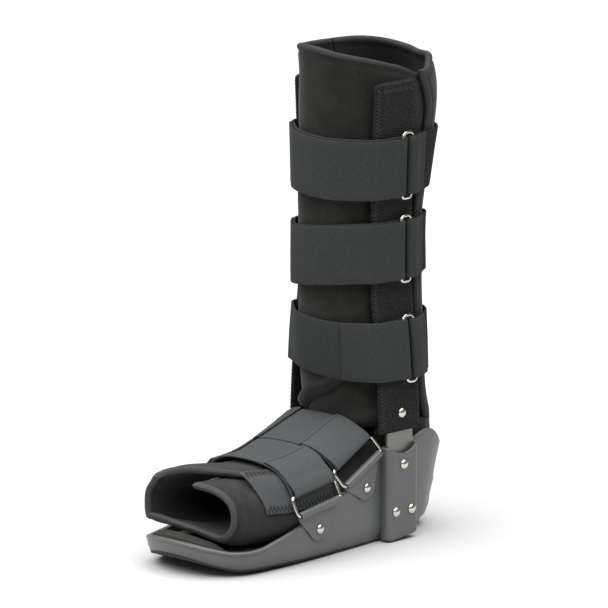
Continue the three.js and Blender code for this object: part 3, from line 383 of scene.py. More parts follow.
shell_profile = []
for a in np.radians([0, 15, 32, 50, 68, 84]):
    share_in, share_up = 1 - np.sin(a), 1 - np.cos(a)
    shell_profile.append(
        (
            lambda y, s=share_in: lerp(lean(y), tuck(y), s),
            lambda y, s=share_up: lerp(shell_bottom(y) - skirt * (s == 0), chine_top(y), s),
        )
    )
wall_steps = [0.0, 0.06, 0.12, 0.4, 0.7, 0.9]
for t in wall_steps:
    swell = 0.3 * bead * (t == wall_steps[-1])
    shell_profile.append(
        (
            lambda y, s=t, w=swell: lean(y) * (1 - s) - w,
            lambda y, s=t: lerp(chine_top(y), rim_height(y) - rim_band, s),
        )
    )
for a in np.radians([-30, 0, 30, 60, 90, 120, 150, 180]):
    shell_profile.append(
        (
            lambda y, c=np.cos(a): (shell_wall - (shell_wall + 2 * bead) * c) / 2,
            lambda y, s=np.sin(a): rim_height(y) - rim_roll + rim_roll * s,
        )
    )
shell_profile += [
    (
        lambda y: shell_wall + 0.2 * lean(y),
        lambda y: lerp(rim_height(y) - floor_fillet, floor_height(y), 0.5),
    ),
    (lambda y: shell_wall + lean(y), lambda y: floor_height(y) + floor_fillet),
    (lambda y: shell_wall + lean(y) + fillet_sag, lambda y: floor_height(y) + fillet_sag),
    (lambda y: shell_wall + lean(y) + floor_fillet, floor_height),
]
shell = base_piece("shell", shell_profile, [moulded_nylon])
dress(shell, "grey_plastic", "base_shell")

# Outsole: a thin tread of black rubber bonded under the shell, set back from its edge. Its side is
# matt and shows as a dark line.
black_rubber, tree = new_material("black_rubber")
spot = add(tree, "ShaderNodeTexCoord").outputs["Object"]
grit = add(tree, "ShaderNodeTexNoise", {"Vector": spot, "Scale": 1 / (1.5 * MM), "Detail": 3.0})
bump = add(tree, "ShaderNodeBump", {"Height": grit.outputs["Fac"], "Strength": 0.4, "Distance": 0.2 * MM})
end_material(tree, {"Base Color": linear("#2a2b2d"), "Normal": bump.outputs["Normal"], "Roughness": 0.8})


def sole_inset(y):
    """The tread's edge, in from the shell's."""
    return outsole_inset + (heel_lean + heel_tuck) * heel_share(y)


def sole_top(y):
    """The tread's upper face, just under the shell."""
    return rocker(np.minimum(0, y)) + outsole_thickness


TREAD_EDGE = [(2.2, 0.0), (1.2, 0.2), (0.4, 0.8), (0.0, 1.7)]
tread_corner = 0.5
tread_profile = [
    (lambda y, i=inset: sole_inset(y) + i, lambda y, r=rise: rocker(y) + r)
    for inset, rise in TREAD_EDGE
]
tread_profile += [
    (sole_inset, lambda y: sole_top(y) - tread_corner),
    (lambda y: sole_inset(y) + tread_corner, sole_top),
]
outsole = base_piece("tread", tread_profile, [black_rubber])
dress(outsole, "sole_rubber", "outsole")

# Insole: die-cut foam, grey-brown, that lies loose in the shell. Its edge is bevelled, and its face
# carries a shallow welt line a few millimetres in.
cut_foam, tree = new_material("cut_foam")
spot = add(tree, "ShaderNodeTexCoord").outputs["Object"]
cells = add(tree, "ShaderNodeTexNoise", {"Vector": spot, "Scale": 1 / (1.3 * MM), "Detail": 4.0})
tint = add(tree, "ShaderNodeValToRGB", {"Fac": cells.outputs["Fac"]})
tint.color_ramp.elements[0].position = 0.35
tint.color_ramp.elements[0].color = linear("#272621")
tint.color_ramp.elements[1].position = 0.7
tint.color_ramp.elements[1].color = linear("#2d2b26")
bump = add(tree, "ShaderNodeBump", {"Height": cells.outputs["Fac"], "Strength": 0.35, "Distance": 0.2 * MM})
end_material(
    tree,
    {"Base Color": tint.outputs["Color"], "Normal": bump.outputs["Normal"], "Roughness": 0.95},
)


insole_toe_lift, insole_lift_start, insole_lift_run = 4.5, 196.0, 16.0


def insole_face(y):
    """The insole's face, which turns up at the toe to meet the rim."""
    return insole_top(y) + insole_toe_lift * smooth((-y - insole_lift_start) / insole_lift_run)


def insole_edge(y):
    """The insole's edge, in from the shell's outer wall."""
    return shell_wall + insole_inset + heel_lean * heel_share(y)


WELT = [(0.0, 3.4), (0.6, 2.7), (3.2, 2.2), (3.8, 1.2), (4.4, 0.25), (5.4, 0.0)]
insole_profile = [(insole_edge, lambda y: floor_height(y) + clearance)]
insole_profile += [
    (lambda y, i=inset: insole_edge(y) + i, lambda y, d=drop: insole_face(y) - d)
    for inset, drop in WELT
]
insole = base_piece("insole_foam", insole_profile, [cut_foam])
dress(insole, "insole_foam", "insole")


# Brackets: moulded nylon channels, one on each side, that hold the foot of an upright against the
# base. The corners are rounded, and the top is scooped with a rolled lip.
def marks(length, edge, step, turns=4):
    """Distances along a strip: eased in over its rounded edge, even between, eased out again."""
    ease = edge * (1 - np.cos(np.linspace(0, np.pi / 2, turns + 1)))[:-1]
    middle = np.linspace(edge, length - edge, max(2, int(round((length - 2 * edge) / step)) + 1))
    return np.concatenate([ease, middle, (length - ease)[::-1]])


def roll_off(at, length, edge):
    """The share of full thickness near a strip's ends: a quarter circle over the edge distance."""
    near = np.minimum(at, length - at)
    return np.sqrt(np.clip(1 - (1 - np.clip(near / edge, 0, 1)) ** 2, 0, 1))


def rounded(v, v_edge, u, u_edge):
    """The share of full thickness over a grid of distances, rolled off at its four borders."""
    return roll_off(v, v[-1], v_edge)[:, None] * roll_off(u, u[-1], u_edge)[None, :]


def surface_normals(mid):
    """Unit normals of a grid surface, from the cross product of its two directions."""
    across = np.gradient(mid, axis=0)
    ahead = np.gradient(mid, axis=1)
    normal = np.cross(ahead, across)
    return normal / np.maximum(np.linalg.norm(normal, axis=-1, keepdims=True), 1e-9)


def wall_piece(name, mid, half, materials, at, finish=None):
    """A wall on both sides of a middle surface: half is its half thickness at each point, nothing
    along the borders, where the two faces meet. at is the pair of distances along its grid, and
    finish numbers the material at each point."""
    shift = surface_normals(mid) * half[..., None]
    both = np.stack([mid + shift, mid - shift])
    rows, cols = mid.shape[:2]
    quads = grid_faces(rows, cols)
    faces = np.vstack([quads, quads[:, ::-1] + rows * cols])
    v, u = np.meshgrid(at[0], at[1], indexing="ij")
    uv = np.tile(np.stack([u, v], -1)[None] * MM, (2, 1, 1, 1))
    if finish is not None:
        finish = np.min([finish[:-1, :-1], finish[1:, :-1], finish[:-1, 1:], finish[1:, 1:]], axis=0)
        finish = np.tile(finish.ravel(), 2)
    return make_piece(name, both, faces, materials, uv, finish)


bracket_width, bracket_depth, bracket_plate, bracket_corner = 38.0, 10.0, 2.5, 5.0
bracket_foot, bracket_top, bracket_edge, bracket_lip = 0.6, 82.0, 0.9, 1.25
scoop_radius, scoop_depth = 22.0, 6.0
lip_flare, lip_flare_reach = 0.5, 3.0
foot_slope, foot_corner, foot_corner_from, foot_corner_run = 4.5, 1.5, 13.0, 6.0
wall_outer = float(base_half(np.array(0.0)))
bracket_seat = wall_outer + 1.5 * clearance
face_x = wall_outer + clearance + bracket_depth
half_bracket = bracket_width / 2


def bracket_line(distance):
    """The channel's middle line in plan: out from the wall, round a corner, across, and back in."""
    half = half_bracket - bracket_plate / 2
    radius = bracket_corner - bracket_plate / 2
    side = face_x - bracket_plate / 2 - radius - bracket_seat
    arc = np.pi / 2 * radius
    total = 2 * (side + arc) + 2 * (half - radius)
    d = np.minimum(distance, total - distance)
    turn = np.clip((d - side) / radius, 0, np.pi / 2)
    px = bracket_seat + np.minimum(d, side) + radius * np.sin(turn)
    py = half - radius * (1 - np.cos(turn)) - np.maximum(0, d - side - arc)
    return px, py * np.where(distance < total / 2, -1, 1), total


for name, side in [("near", 1), ("far", -1)]:
    total = bracket_line(np.zeros(1))[2]
    around = marks(total, bracket_edge, 0.9)
    upward = marks(bracket_top - bracket_foot, bracket_lip, 2.0)
    px, py, _ = bracket_line(around[None, :])
    scoop = bracket_top + scoop_radius - scoop_depth - np.sqrt(np.maximum(scoop_radius**2 - py**2, 0))
    top = np.where(np.abs(py) < scoop_radius, np.minimum(bracket_top, scoop), bracket_top)
    slope = foot_slope * (py + half_bracket) / bracket_width
    corner = foot_corner * smooth((np.abs(py) - foot_corner_from) / foot_corner_run) ** 2
    z = lerp(bracket_foot + slope + corner, top, upward[:, None] / upward[-1])
    flare = lip_flare * np.exp(-(((top - z) / lip_flare_reach) ** 2))
    mid = points(side * (px + flare), py, z)
    half = bracket_plate / 2 * rounded(upward, bracket_lip, around, bracket_edge)
    piece = wall_piece(f"bracket_channel_{name}", mid, half, [moulded_nylon], (upward, around))
    dress(piece, "grey_plastic", f"bracket_{name}")

# Uprights: flat bars of aluminium, satin anodised, that run from inside the brackets up the sides of
# the leg and close in a little towards the calf.
satin_aluminium, tree = new_material("satin_aluminium")
spot = add(tree, "ShaderNodeTexCoord").outputs["Object"]
lined = add(tree, "ShaderNodeMapping", {"Vector": spot, "Scale": (1.0, 1.0, 0.04)})
brush = add(tree, "ShaderNodeTexNoise", {"Vector": lined.outputs["Vector"], "Scale": 1 / (0.8 * MM)})
bump = add(
    tree, "ShaderNodeBump", {"Height": brush.outputs["Fac"], "Strength": 0.08, "Distance": 0.05 * MM}
)
end_material(
    tree,
    {
        "Base Color": linear("#85857f"),
        "Normal": bump.outputs["Normal"],
        "Metallic": 0.85,
        "Roughness": 0.48,
    },
)
strut_width, strut_thickness, strut_edge, strut_foot, strut_top = 31.0, 3.2, 0.7, 8.0, 384.0
cover_width, cover_fabric, cover_edge, cover_foot, cover_top = 50.0, 1.7, 1.6, 94.0, 391.5
UPRIGHTS = columns(
    "height spread",
    [(0.0, 1.0), (0.26, 1.0), (0.42, 0.93), (0.56, 0.82), (0.7, 0.81), (0.85, 0.84), (1.0, 0.89)],
)
strut_inner = wall_outer + clearance + (bracket_depth - bracket_plate - strut_thickness) / 2
cover_thickness = strut_thickness + 2 * (cover_fabric + clearance)


def strut_x(z):
    """The upright's distance from the middle at a height, from the table."""
    return (strut_inner + strut_thickness / 2) * read(UPRIGHTS, "height", "spread", z / strut_top)


def bar_outline(half_x, half_y, corner, count=6):
    """A rectangle with rounded corners as a closed loop, starting at its +X side."""
    a = np.linspace(0, np.pi / 2, count)
    turn = np.concatenate([a, a + np.pi / 2, a + np.pi, a + 1.5 * np.pi])
    x = np.repeat([1, -1, -1, 1], count) * (half_x - corner) + corner * np.cos(turn)
    y = np.repeat([1, 1, -1, -1], count) * (half_y - corner) + corner * np.sin(turn)
    return x, y


def post(name, outline, levels, spread, side, materials, lift=None):
    """A closed bar: an outline repeated up the upright's line, shrunk at each level by spread (a pair
    of shares), and closed at both ends. lift moves a point up, by its place across and its level."""
    ox, oy = outline
    z = levels[:, None] + np.zeros_like(ox)
    if lift is not None:
        z = z + lift(oy, levels[:, None])
    x = side * (strut_x(z) + ox * spread[:, :1])
    grid = points(x, oy * spread[:, 1:], z)
    low = grid[0].mean(axis=0) + 0 * grid[0]
    high = grid[-1].mean(axis=0) + 0 * grid[-1]
    grid = np.stack([low, *grid, high])
    faces = grid_faces(*grid.shape[:2], round_cols=True)
    return make_piece(name, grid, faces, materials, grid[..., 1:] * MM)


for name, side in [("near", 1), ("far", -1)]:
    levels = np.linspace(strut_foot, strut_top, 90)
    piece = post(
        f"upright_bar_{name}",
        bar_outline(strut_thickness / 2, strut_width / 2, strut_edge),
        levels,
        np.ones((len(levels), 2)),
        side,
        [satin_aluminium],
    )
    dress(piece, "upright_aluminium", f"strut_{name}")

# Covers: flat sleeves of black loop pile pulled over the uprights, so that the straps can be hooked
# anywhere on them. A zigzag seam runs round their edges, and the pile frays at the top.
loop_pile, tree = new_material("loop_pile")
spot = add(tree, "ShaderNodeTexCoord").outputs["Object"]
loop_width, row_height = 1.3 * MM, 2.1 * MM
wave_repeat = 0.314  # one repeat of the wave texture at scale 1, in metres
loops = add(tree, "ShaderNodeTexVoronoi", {"Vector": spot, "Scale": 1 / loop_width, "Randomness": 0.9})
fuzz = add(tree, "ShaderNodeTexNoise", {"Vector": spot, "Scale": 1 / (0.7 * MM), "Detail": 4.0})
rows = add(
    tree,
    "ShaderNodeTexWave",
    {"Vector": spot, "Scale": wave_repeat / row_height, "Distortion": 2.5, "Detail": 2.0},
    wave_type="BANDS",
    bands_direction="Z",
)
height = add(
    tree, "ShaderNodeMath", {0: rows.outputs["Fac"], 1: loops.outputs["Distance"]}, operation="SUBTRACT"
)
height = add(
    tree, "ShaderNodeMath", {0: height.outputs["Value"], 1: fuzz.outputs["Fac"]}, operation="ADD"
)
bump = add(
    tree, "ShaderNodeBump", {"Height": height.outputs["Value"], "Strength": 0.8, "Distance": 0.5 * MM}
)
tint = add(tree, "ShaderNodeValToRGB", {"Fac": fuzz.outputs["Fac"]})
tint.color_ramp.elements[0].position = 0.42
tint.color_ramp.elements[0].color = linear("#181818")
tint.color_ramp.elements[1].position = 0.72
tint.color_ramp.elements[1].color = linear("#3a3b3b")
end_material(
    tree,
    {
        "Base Color": tint.outputs["Color"],
        "Normal": bump.outputs["Normal"],
        "Roughness": 0.95,
        "Specular IOR Level": 0.12,
    },
)


top_sag, sag_from, sag_run = 2.2, 8.0, 17.0
fray, fray_reach = 0.5, 30.0
seam_inset, top_inset = 3.0, 4.0
thin_end, narrow_end = 0.35, 0.98


def sleeve_half(y, edge):
    """Half the sleeve's thickness: full over the bar, thinning to the edge's own at the seam."""
    inward = np.clip((cover_width / 2 - np.abs(y)) / (cover_width / 2 - strut_width / 2), 0, 1)
    return lerp(edge, cover_thickness / 2, smooth(inward))


def cover_outline():
    """The sleeve's section as a closed loop, rounded off at its two edges."""
    y = np.concatenate([np.linspace(-1, 1, 41), np.linspace(1, -1, 41)[1:-1]]) * cover_width / 2
    sign = np.concatenate([np.ones(41), -np.ones(39)])
    edge = cover_fabric * roll_off(cover_width / 2 - np.abs(y), cover_width, cover_edge)
    return sign * sleeve_half(y, edge), y


def frayed_top(oy, z):
    """The cut edge's height: it sags at the front corner, and two short waves, multiplied, leave it
    uneven by half a millimetre."""
    share = smooth((z - cover_top + fray_reach) / fray_reach)
    sag = top_sag * smooth((-oy - sag_from) / sag_run) ** 2
    return share * (fray * np.sin(oy * 2.3) * np.sin(oy * 0.9 + 1) - sag)


def cover_place(side, upright, at):
    """Points and normals on a sleeve's outer face, along a seam that runs up it or across it."""

    def place(t, shift):
        if upright:
            z = lerp(cover_foot + seam_inset, cover_top - top_inset, t)
            y = at + shift
        else:
            z = at + shift
            y = lerp(seam_inset - cover_width / 2, cover_width / 2 - seam_inset, t)
        z = z + frayed_top(y, z)
        face = side * (strut_x(z) + sleeve_half(y, cover_fabric))
        return points(face, y, z), points(side + 0 * y, 0 * y, 0 * y)

    return place


for name, side in [("near", 1), ("far", -1)]:
    upward = marks(cover_top - cover_foot, cover_edge, 3.0)
    full = roll_off(upward, upward[-1], cover_edge)
    piece = post(
        f"pile_sleeve_{name}",
        cover_outline(),
        cover_foot + upward,
        np.stack([lerp(thin_end, 1, full), lerp(narrow_end, 1, full)], -1),
        side,
        [loop_pile],
        frayed_top,
    )
    dress(piece, "loop_pile", f"strut_cover_{name}")


# Rivets: nickel-plated steel domes. Three hold each bracket to the base, and one holds the foot of
# each cover to its upright.
def turned(name, profile, point, axis, materials, count=24):
    """A profile of radii and heights turned about an axis through a point."""
    radius, rise = np.array(profile, float).T
    a = np.arange(count) / count * 2 * np.pi
    axis = np.asarray(axis, float) / np.linalg.norm(axis)
    side = np.cross(axis, (0.0, 0.0, 1.0))
    side = side / np.linalg.norm(side)
    up = np.cross(axis, side)
    ring = side[None, None] * np.cos(a)[None, :, None] + up[None, None] * np.sin(a)[None, :, None]
    grid = np.asarray(point) + ring * radius[:, None, None] + axis * rise[:, None, None]
    return make_piece(name, grid, grid_faces(*grid.shape[:2], round_cols=True), materials)


polished_nickel, tree = new_material("polished_nickel")
spot = add(tree, "ShaderNodeTexCoord").outputs["Object"]
smear_scale = 180.0
smear = add(tree, "ShaderNodeTexNoise", {"Vector": spot, "Scale": smear_scale, "Detail": 3.0})
gloss = add(
    tree, "ShaderNodeMapRange", {"Value": smear.outputs["Fac"], "To Min": 0.14, "To Max": 0.26}
)
end_material(tree, {"Base Color": linear("#d9d4c8"), "Metallic": 1.0, "Roughness": gloss.outputs["Result"]})
rivet_head, rivet_dome, rivet_shank, rivet_lip = 9.0, 2.6, 4.0, 0.4


def rivet(name, point, axis, depth, node):
    """A domed head: a spherical cap on a shank that stands in the plates below it."""
    half = rivet_head / 2
    seat = 0.6 * clearance
    shank = rivet_shank / 2
    ball = (rivet_dome**2 + half**2) / (2 * rivet_dome)
    a = np.linspace(1, 0, 9) * np.arcsin(half / ball)
    cap = np.stack([ball * np.sin(a), ball * np.cos(a) - ball + rivet_dome + clearance], -1)
    stem = [(0, -depth), (shank, -depth), (shank, seat), (half - rivet_lip, seat)]
    piece = turned(name, [*stem, *cap], point, axis, [polished_nickel])
    dress(piece, "nickel", node)


bracket_rivet_depth = bracket_depth + clearance + shell_wall / 2
BRACKET_RIVETS = [(0, 66), (-9.5, 26), (9.5, 26)]
cover_rivet_z = 110.0
for name, side in [("near", 1), ("far", -1)]:
    for i, (y, z) in enumerate(BRACKET_RIVETS):
        spot_at = (side * face_x, y, z)
        node = f"bracket_rivet_{name}_{i + 1}"
        rivet(f"dome_{node}", spot_at, (side, 0, 0), bracket_rivet_depth, node)
    spot_at = (side * float(strut_x(cover_rivet_z) + cover_thickness / 2), 0, cover_rivet_z)
    depth = cover_thickness - cover_fabric - clearance
    rivet(f"dome_cover_rivet_{name}", spot_at, (side, 0, 0), depth, f"cover_rivet_{name}")

# Liner, leg part: two padded panels of brushed loop fleece over foam. The back panel holds the heel
# and laps over the front panel's near end, and a smooth binding is sewn over every free edge.
def fleece(name, dark, light):
    """Brushed fleece: nap, slow clouds of wear, and pale flecks of lint."""
    material, tree = new_material(name)
    spot = add(tree, "ShaderNodeTexCoord").outputs["Object"]
    nap = add(
        tree,
        "ShaderNodeTexNoise",
        {"Vector": spot, "Scale": 1 / (1.6 * MM), "Detail": 5.0, "Roughness": 0.7},
    )
    cloud = add(tree, "ShaderNodeTexNoise", {"Vector": spot, "Scale": 1 / (14 * MM), "Detail": 3.0})
    lint = add(tree, "ShaderNodeTexNoise", {"Vector": spot, "Scale": 1 / (2.2 * MM), "Detail": 1.0})
    mixed = add(
        tree, "ShaderNodeMath", {0: nap.outputs["Fac"], 1: cloud.outputs["Fac"]}, operation="MULTIPLY"
    )
    tint = add(tree, "ShaderNodeValToRGB", {"Fac": mixed.outputs["Value"]})
    tint.color_ramp.elements[0].position = 0.1
    tint.color_ramp.elements[0].color = linear(dark)
    tint.color_ramp.elements[1].position = 0.45
    tint.color_ramp.elements[1].color = linear(light)
    flecks = add(
        tree, "ShaderNodeMapRange", {"Value": lint.outputs["Fac"], "From Min": 0.78, "From Max": 0.86}
    )
    speckled = add(
        tree,
        "ShaderNodeMix",
        {0: flecks.outputs["Result"], 6: tint.outputs["Color"], 7: linear("#666664")},
        data_type="RGBA",
    )
    bump = add(
        tree, "ShaderNodeBump", {"Height": nap.outputs["Fac"], "Strength": 0.45, "Distance": 0.35 * MM}
    )
    end_material(
        tree,
        {
            "Base Color": speckled.outputs[2],
            "Normal": bump.outputs["Normal"],
            "Roughness": 1.0,
            "Specular IOR Level": 0.1,
            "Sheen Weight": 0.12,
        },
    )
    return material


def binding(name, shade):
    """Smooth knitted binding that puckers along its seam."""
    material, tree = new_material(name)
    spot = add(tree, "ShaderNodeTexCoord").outputs["Object"]
    weave = add(tree, "ShaderNodeTexNoise", {"Vector": spot, "Scale": 1 / (0.9 * MM), "Detail": 2.0})
    pucker = add(tree, "ShaderNodeTexNoise", {"Vector": spot, "Scale": 1 / (4.5 * MM), "Detail": 1.0})
    fine = add(
        tree, "ShaderNodeBump", {"Height": weave.outputs["Fac"], "Strength": 0.15, "Distance": 0.1 * MM}
    )
    bump = add(
        tree,
        "ShaderNodeBump",
        {
            "Height": pucker.outputs["Fac"],
            "Normal": fine.outputs["Normal"],
            "Strength": 0.6,
            "Distance": 1.2 * MM,
        },
    )
    end_material(
        tree,
        {
            "Base Color": linear(shade),
            "Normal": bump.outputs["Normal"],
            "Roughness": 0.75,
            "Specular IOR Level": 0.25,
        },
    )
    return material


# The leg panels' fleece and binding are darker copies of the foot part's: painted shade on the upright leg.
shaded_leg_fleece = fleece("shaded_leg_fleece", "#1c1d1b", "#2a2b28")
shaded_leg_binding = binding("shaded_leg_binding", "#303232")
leg_top, leg_panel_foot, leg_depth, liner_wall = 423.0, 99.0, 120.0, 6.0
leg_power_x, leg_power_y = 0.78, 0.9
LEG_SECTIONS = columns(
    "height side depth centre",
    [
        (0.04, 0.87, 0.72, 0.19),
        (0.1, 0.93, 0.78, 0.18),
        (0.2, 0.98, 0.785, 0.13),
        (0.29, 0.99, 0.8, 0.05),
        (0.4, 0.99, 0.87, 0.02),
        (0.53, 1.0, 0.92, 0.01),
        (0.64, 1.0, 0.92, 0.01),
        (0.75, 1.0, 0.98, 0.05),
        (0.86, 1.0, 1.04, 0.09),
        (0.93, 0.99, 1.02, 0.08),
        (1.0, 0.95, 0.95, 0.02),
    ],
)
LEG_RIM = columns(
    "turn rise",
    [
        (30, 0.94),
        (50, 0.964),
        (72, 0.968),
        (100, 0.98),
        (140, 0.99),
        (180, 0.991),
        (215, 0.993),
        (262, 1.0),
        (300, 0.988),
        (335, 0.973),
        (360, 0.956),
        (384, 0.933),
        (404, 0.922),
    ],
)
near_lap = {"back": 30.0, "front": 44.0, "full": 50.0, "end": 78.0}
heel_lap = {"start": 8.0, "rise": 22.0, "overrun": 20.0, "fall": 48.0, "flat": 0.2}
far_seam = 176.0
flap_lift = liner_wall + 1.5 * clearance
binding_band, groove_depth, groove_width, padding_ease = 6.0, 1.1, 0.9, 0.5
rim_corner, rim_corner_from = 11.0, 0.86
ripple_depth, ripple_height, ripple_turn = 0.45, 11.0, 17.0
fold_origin = 222.0
ANKLE_FOLDS = [
    {"off": 5.0, "width": 3.6, "z": 108.0, "slope": 0.5, "wave": 0, "from": (218, 12), "to": (318, 30)},
    {"off": -3.0, "width": 4.5, "z": 100.0, "slope": 0.5, "wave": 0, "from": (218, 12), "to": (318, 30)},
    {"off": 5.0, "width": 4.5, "z": 106.0, "slope": 0.0, "wave": 2, "from": (285, 15), "to": (372, 25)},
]


def power(value, exponent):
    """A signed power, which turns a circle's sine and cosine into a superellipse's."""
    return np.sign(value) * np.abs(value) ** exponent


def side_room(z):
    """Half the room for the liner: between the shell's walls below, between the covers above."""
    low = wall_outer - shell_wall - clearance
    high = strut_x(z) - cover_thickness / 2 - clearance
    return lerp(low, high, smooth((z - (bracket_top + 8)) / 16))


def leg_point(degrees, z, off):
    """A point off the leg's surface: a superellipse whose half axes and centre change with height.
    The angle runs from the near side over the back."""
    turn = np.radians(degrees)
    half = side_room(z) * read(LEG_SECTIONS, "height", "side", z / leg_top)
    deep = leg_depth / 2 * read(LEG_SECTIONS, "height", "depth", z / leg_top)
    centre = leg_depth * read(LEG_SECTIONS, "height", "centre", z / leg_top)
    x = (half + off) * power(np.cos(turn), leg_power_x)
    y = centre + (deep + off) * power(np.sin(turn), leg_power_y)
    return points(x, y, z)


def leg_rim(degrees):
    """The rim's height round the leg."""
    return leg_top * read(LEG_RIM, "turn", "rise", degrees)


def bound_edge(distance):
    """Half the wall's thickness at a distance from a bound edge: a round roll of binding, a sewn
    groove at its inner side, and then the padding, which fills out again."""
    share = np.clip(2 * distance / liner_wall, 0, 1)
    roll = liner_wall / 2 * np.sqrt(1 - (1 - share) ** 2)
    past = distance - binding_band
    groove = groove_depth * np.exp(-((past / groove_width) ** 2))
    ease = padding_ease * np.exp(-np.clip(past, 0, None) / binding_band) * (past > 0)
    return roll - groove - ease


def leg_panel(name, size, place, bound, node):
    """A padded panel on a grid of shares, with binding along the edges that bound names."""
    u = marks(size[0], 4.0, 2.2, 5)
    v = marks(size[1], 4.0, 2.6, 5)
    mid = place(u[None, :] / u[-1], v[:, None] / v[-1])
    u_grid, v_grid = np.meshgrid(u, v)
    edges = {"start": u_grid, "end": u[-1] - u_grid, "top": v[-1] - v_grid}
    unbound = np.full_like(u_grid, np.inf)
    distance = np.min([unbound, *(edges[edge] for edge in bound)], axis=0)
    half = bound_edge(distance) * rounded(v, 1.0, u, 1.0)
    finish = distance < binding_band
    piece = wall_piece(name, mid, half, [shaded_leg_fleece, shaded_leg_binding], (v, u), finish)
    return dress(piece, "liner_fleece", node)


def ankle_folds(degrees, z):
    """The folds over the ankle: each is a bell in height, on a line that climbs or waves, and eases
    in and out round the leg."""
    off = np.zeros_like(z)
    for fold in ANKLE_FOLDS:
        line = fold["z"] + fold["slope"] * (degrees - fold_origin) - fold["wave"] * np.sin(degrees / 9)
        (start, run_in), (end, run_out) = fold["from"], fold["to"]
        span = smooth((degrees - start) / run_in) * smooth((end - degrees) / run_out)
        off = off + fold["off"] * span * np.exp(-(((z - line) / fold["width"]) ** 2))
    return off


def front_place(u, v):
    """The front panel's middle surface: it ripples softly above the folds at the ankle."""
    degrees = lerp(far_seam + 0.6, 360 + near_lap["front"], u)
    z = lerp(leg_panel_foot, leg_rim(degrees), v)
    wave = np.sin(z / ripple_height + degrees / 40) * np.sin(degrees / ripple_turn)
    ripple = ripple_depth * wave * smooth((z - 110) / 40)
    return leg_point(degrees, z, ripple + ankle_folds(degrees, z) - liner_wall / 2 - clearance)


def back_place(u, v):
    """The back panel's middle surface above the heel, lifted over the front panel's near end."""
    corner = rim_corner * smooth((v - rim_corner_from) / (1 - rim_corner_from))
    degrees = lerp(near_lap["back"] - corner, far_seam, u)
    z = lerp(leg_panel_foot - clearance, leg_rim(degrees), v)
    lap = flap_lift * smooth((near_lap["end"] - degrees) / (near_lap["end"] - near_lap["full"]))
    return leg_point(degrees, z, lap - liner_wall / 2)


foot_back = -14.0


def heel_place(u, v):
    """The heel part's middle surface, which closes round the foot part's back edge."""
    z = lerp(float(insole_top(np.array(0.0))) + clearance, leg_panel_foot - clearance, v)
    deep = leg_depth / 2 * read(LEG_SECTIONS, "height", "depth", z / leg_top)
    centre = leg_depth * read(LEG_SECTIONS, "height", "centre", z / leg_top)
    share = np.minimum(1, (centre - foot_back - clearance) / deep)
    seam = np.degrees(np.arcsin(share ** (1 / leg_power_y)))
    degrees = lerp(-seam, 180 + seam, u)
    rise = smooth((degrees - heel_lap["start"]) / heel_lap["rise"])
    fall = smooth((near_lap["end"] + heel_lap["overrun"] - degrees) / heel_lap["fall"])
    height = smooth((v - heel_lap["flat"]) / (1 - heel_lap["flat"]))
    return leg_point(degrees, z, flap_lift * rise * fall * height - liner_wall / 2)


leg_panel("liner_front", (215, 320), front_place, ("end", "top"), "leg_front_panel")
leg_panel("liner_back", (150, 316), back_place, ("start", "top"), "leg_back_panel")
leg_panel("liner_heel", (230, 83), heel_place, (), "leg_back_panel")

# Liner, foot part: one padded strip wound under the foot and closed over it, far flap on top. Its
# toe end is open, bound like the rim, and lifts a little off the insole.
toe_opening, foot_width, foot_height = -202.0, 102.0, 56.0
toe_slant, near_box, near_swell, sole_sink, toe_rise = 6.0, 0.86, 0.1, 6.0, 10.0
FOOT_SECTIONS = columns(
    "along half top gap far",
    [
        (0.0, 0.88, 1.0, 0.12, 0.6),
        (0.12, 0.94, 1.03, 0.04, 0.62),
        (0.25, 0.97, 1.0, 0.01, 0.7),
        (0.35, 0.98, 0.97, 0.0, 0.8),
        (0.5, 0.97, 1.0, 0.0, 0.75),
        (0.65, 0.94, 1.13, 0.0, 0.6),
        (0.87, 0.9, 1.42, 0.0, 0.48),
        (1.0, 0.87, 1.58, 0.0, 0.48),
    ],
)
FLAP_EDGES = columns(
    "along far_edge near_edge droop",
    [(0.0, 128, 86, 1), (0.08, 102, 86, 0.8), (0.17, 76, 88, 0.4), (0.3, 62, 90, 0), (1.0, 60, 90, 0)],
)
flap_droop, droop_reach, instep_shift = 2.0, 60.0, 28.0


def along_foot(y):
    """The share of the way from the toe opening to the heel part."""
    return (y - toe_opening) / (foot_back - toe_opening)


def foot_point(degrees, y, off):
    """A point off the foot part's surface: a superellipse, boxier on the far side, flattened where
    it lies on the insole. The angle runs from the near side over the top."""
    share = along_foot(y)
    turn = np.radians(degrees)
    far = read(FOOT_SECTIONS, "along", "far", share)
    box = lerp(far, near_box, smooth(0.5 + np.cos(turn) / 1.6))
    half = foot_width / 2 * read(FOOT_SECTIONS, "along", "half", share)
    gap = foot_height * read(FOOT_SECTIONS, "along", "gap", share)
    low = insole_top(y) + 2 * clearance + gap
    top = low - gap + foot_height * read(FOOT_SECTIONS, "along", "top", share)
    middle = (low - sole_sink + top) / 2
    wide = half * np.where(np.cos(turn) > 0, 1 + near_swell * (1 - share), 1)
    x = (wide + off) * power(np.cos(turn), box)
    upper = np.where(np.sin(turn) > 0, box, near_box)
    z = middle + ((top - low + sole_sink) / 2 + off) * power(np.sin(turn), upper)
    slant = toe_slant * (1 - share) * np.cos(turn)
    rise = toe_rise * (1 - smooth(share / 0.4)) * smooth(0.5 - np.cos(turn) / 1.7)
    return points(x, y + slant, np.maximum(z, low + rise + np.maximum(0, -off)))


def far_edge(y):
    """The far flap's free edge, in degrees round the section."""
    return read(FLAP_EDGES, "along", "far_edge", along_foot(y))


def lift_at(degrees):
    """How far the far flap stands off: it climbs over the near flap."""
    return flap_lift * smooth((150 - degrees) / 45)


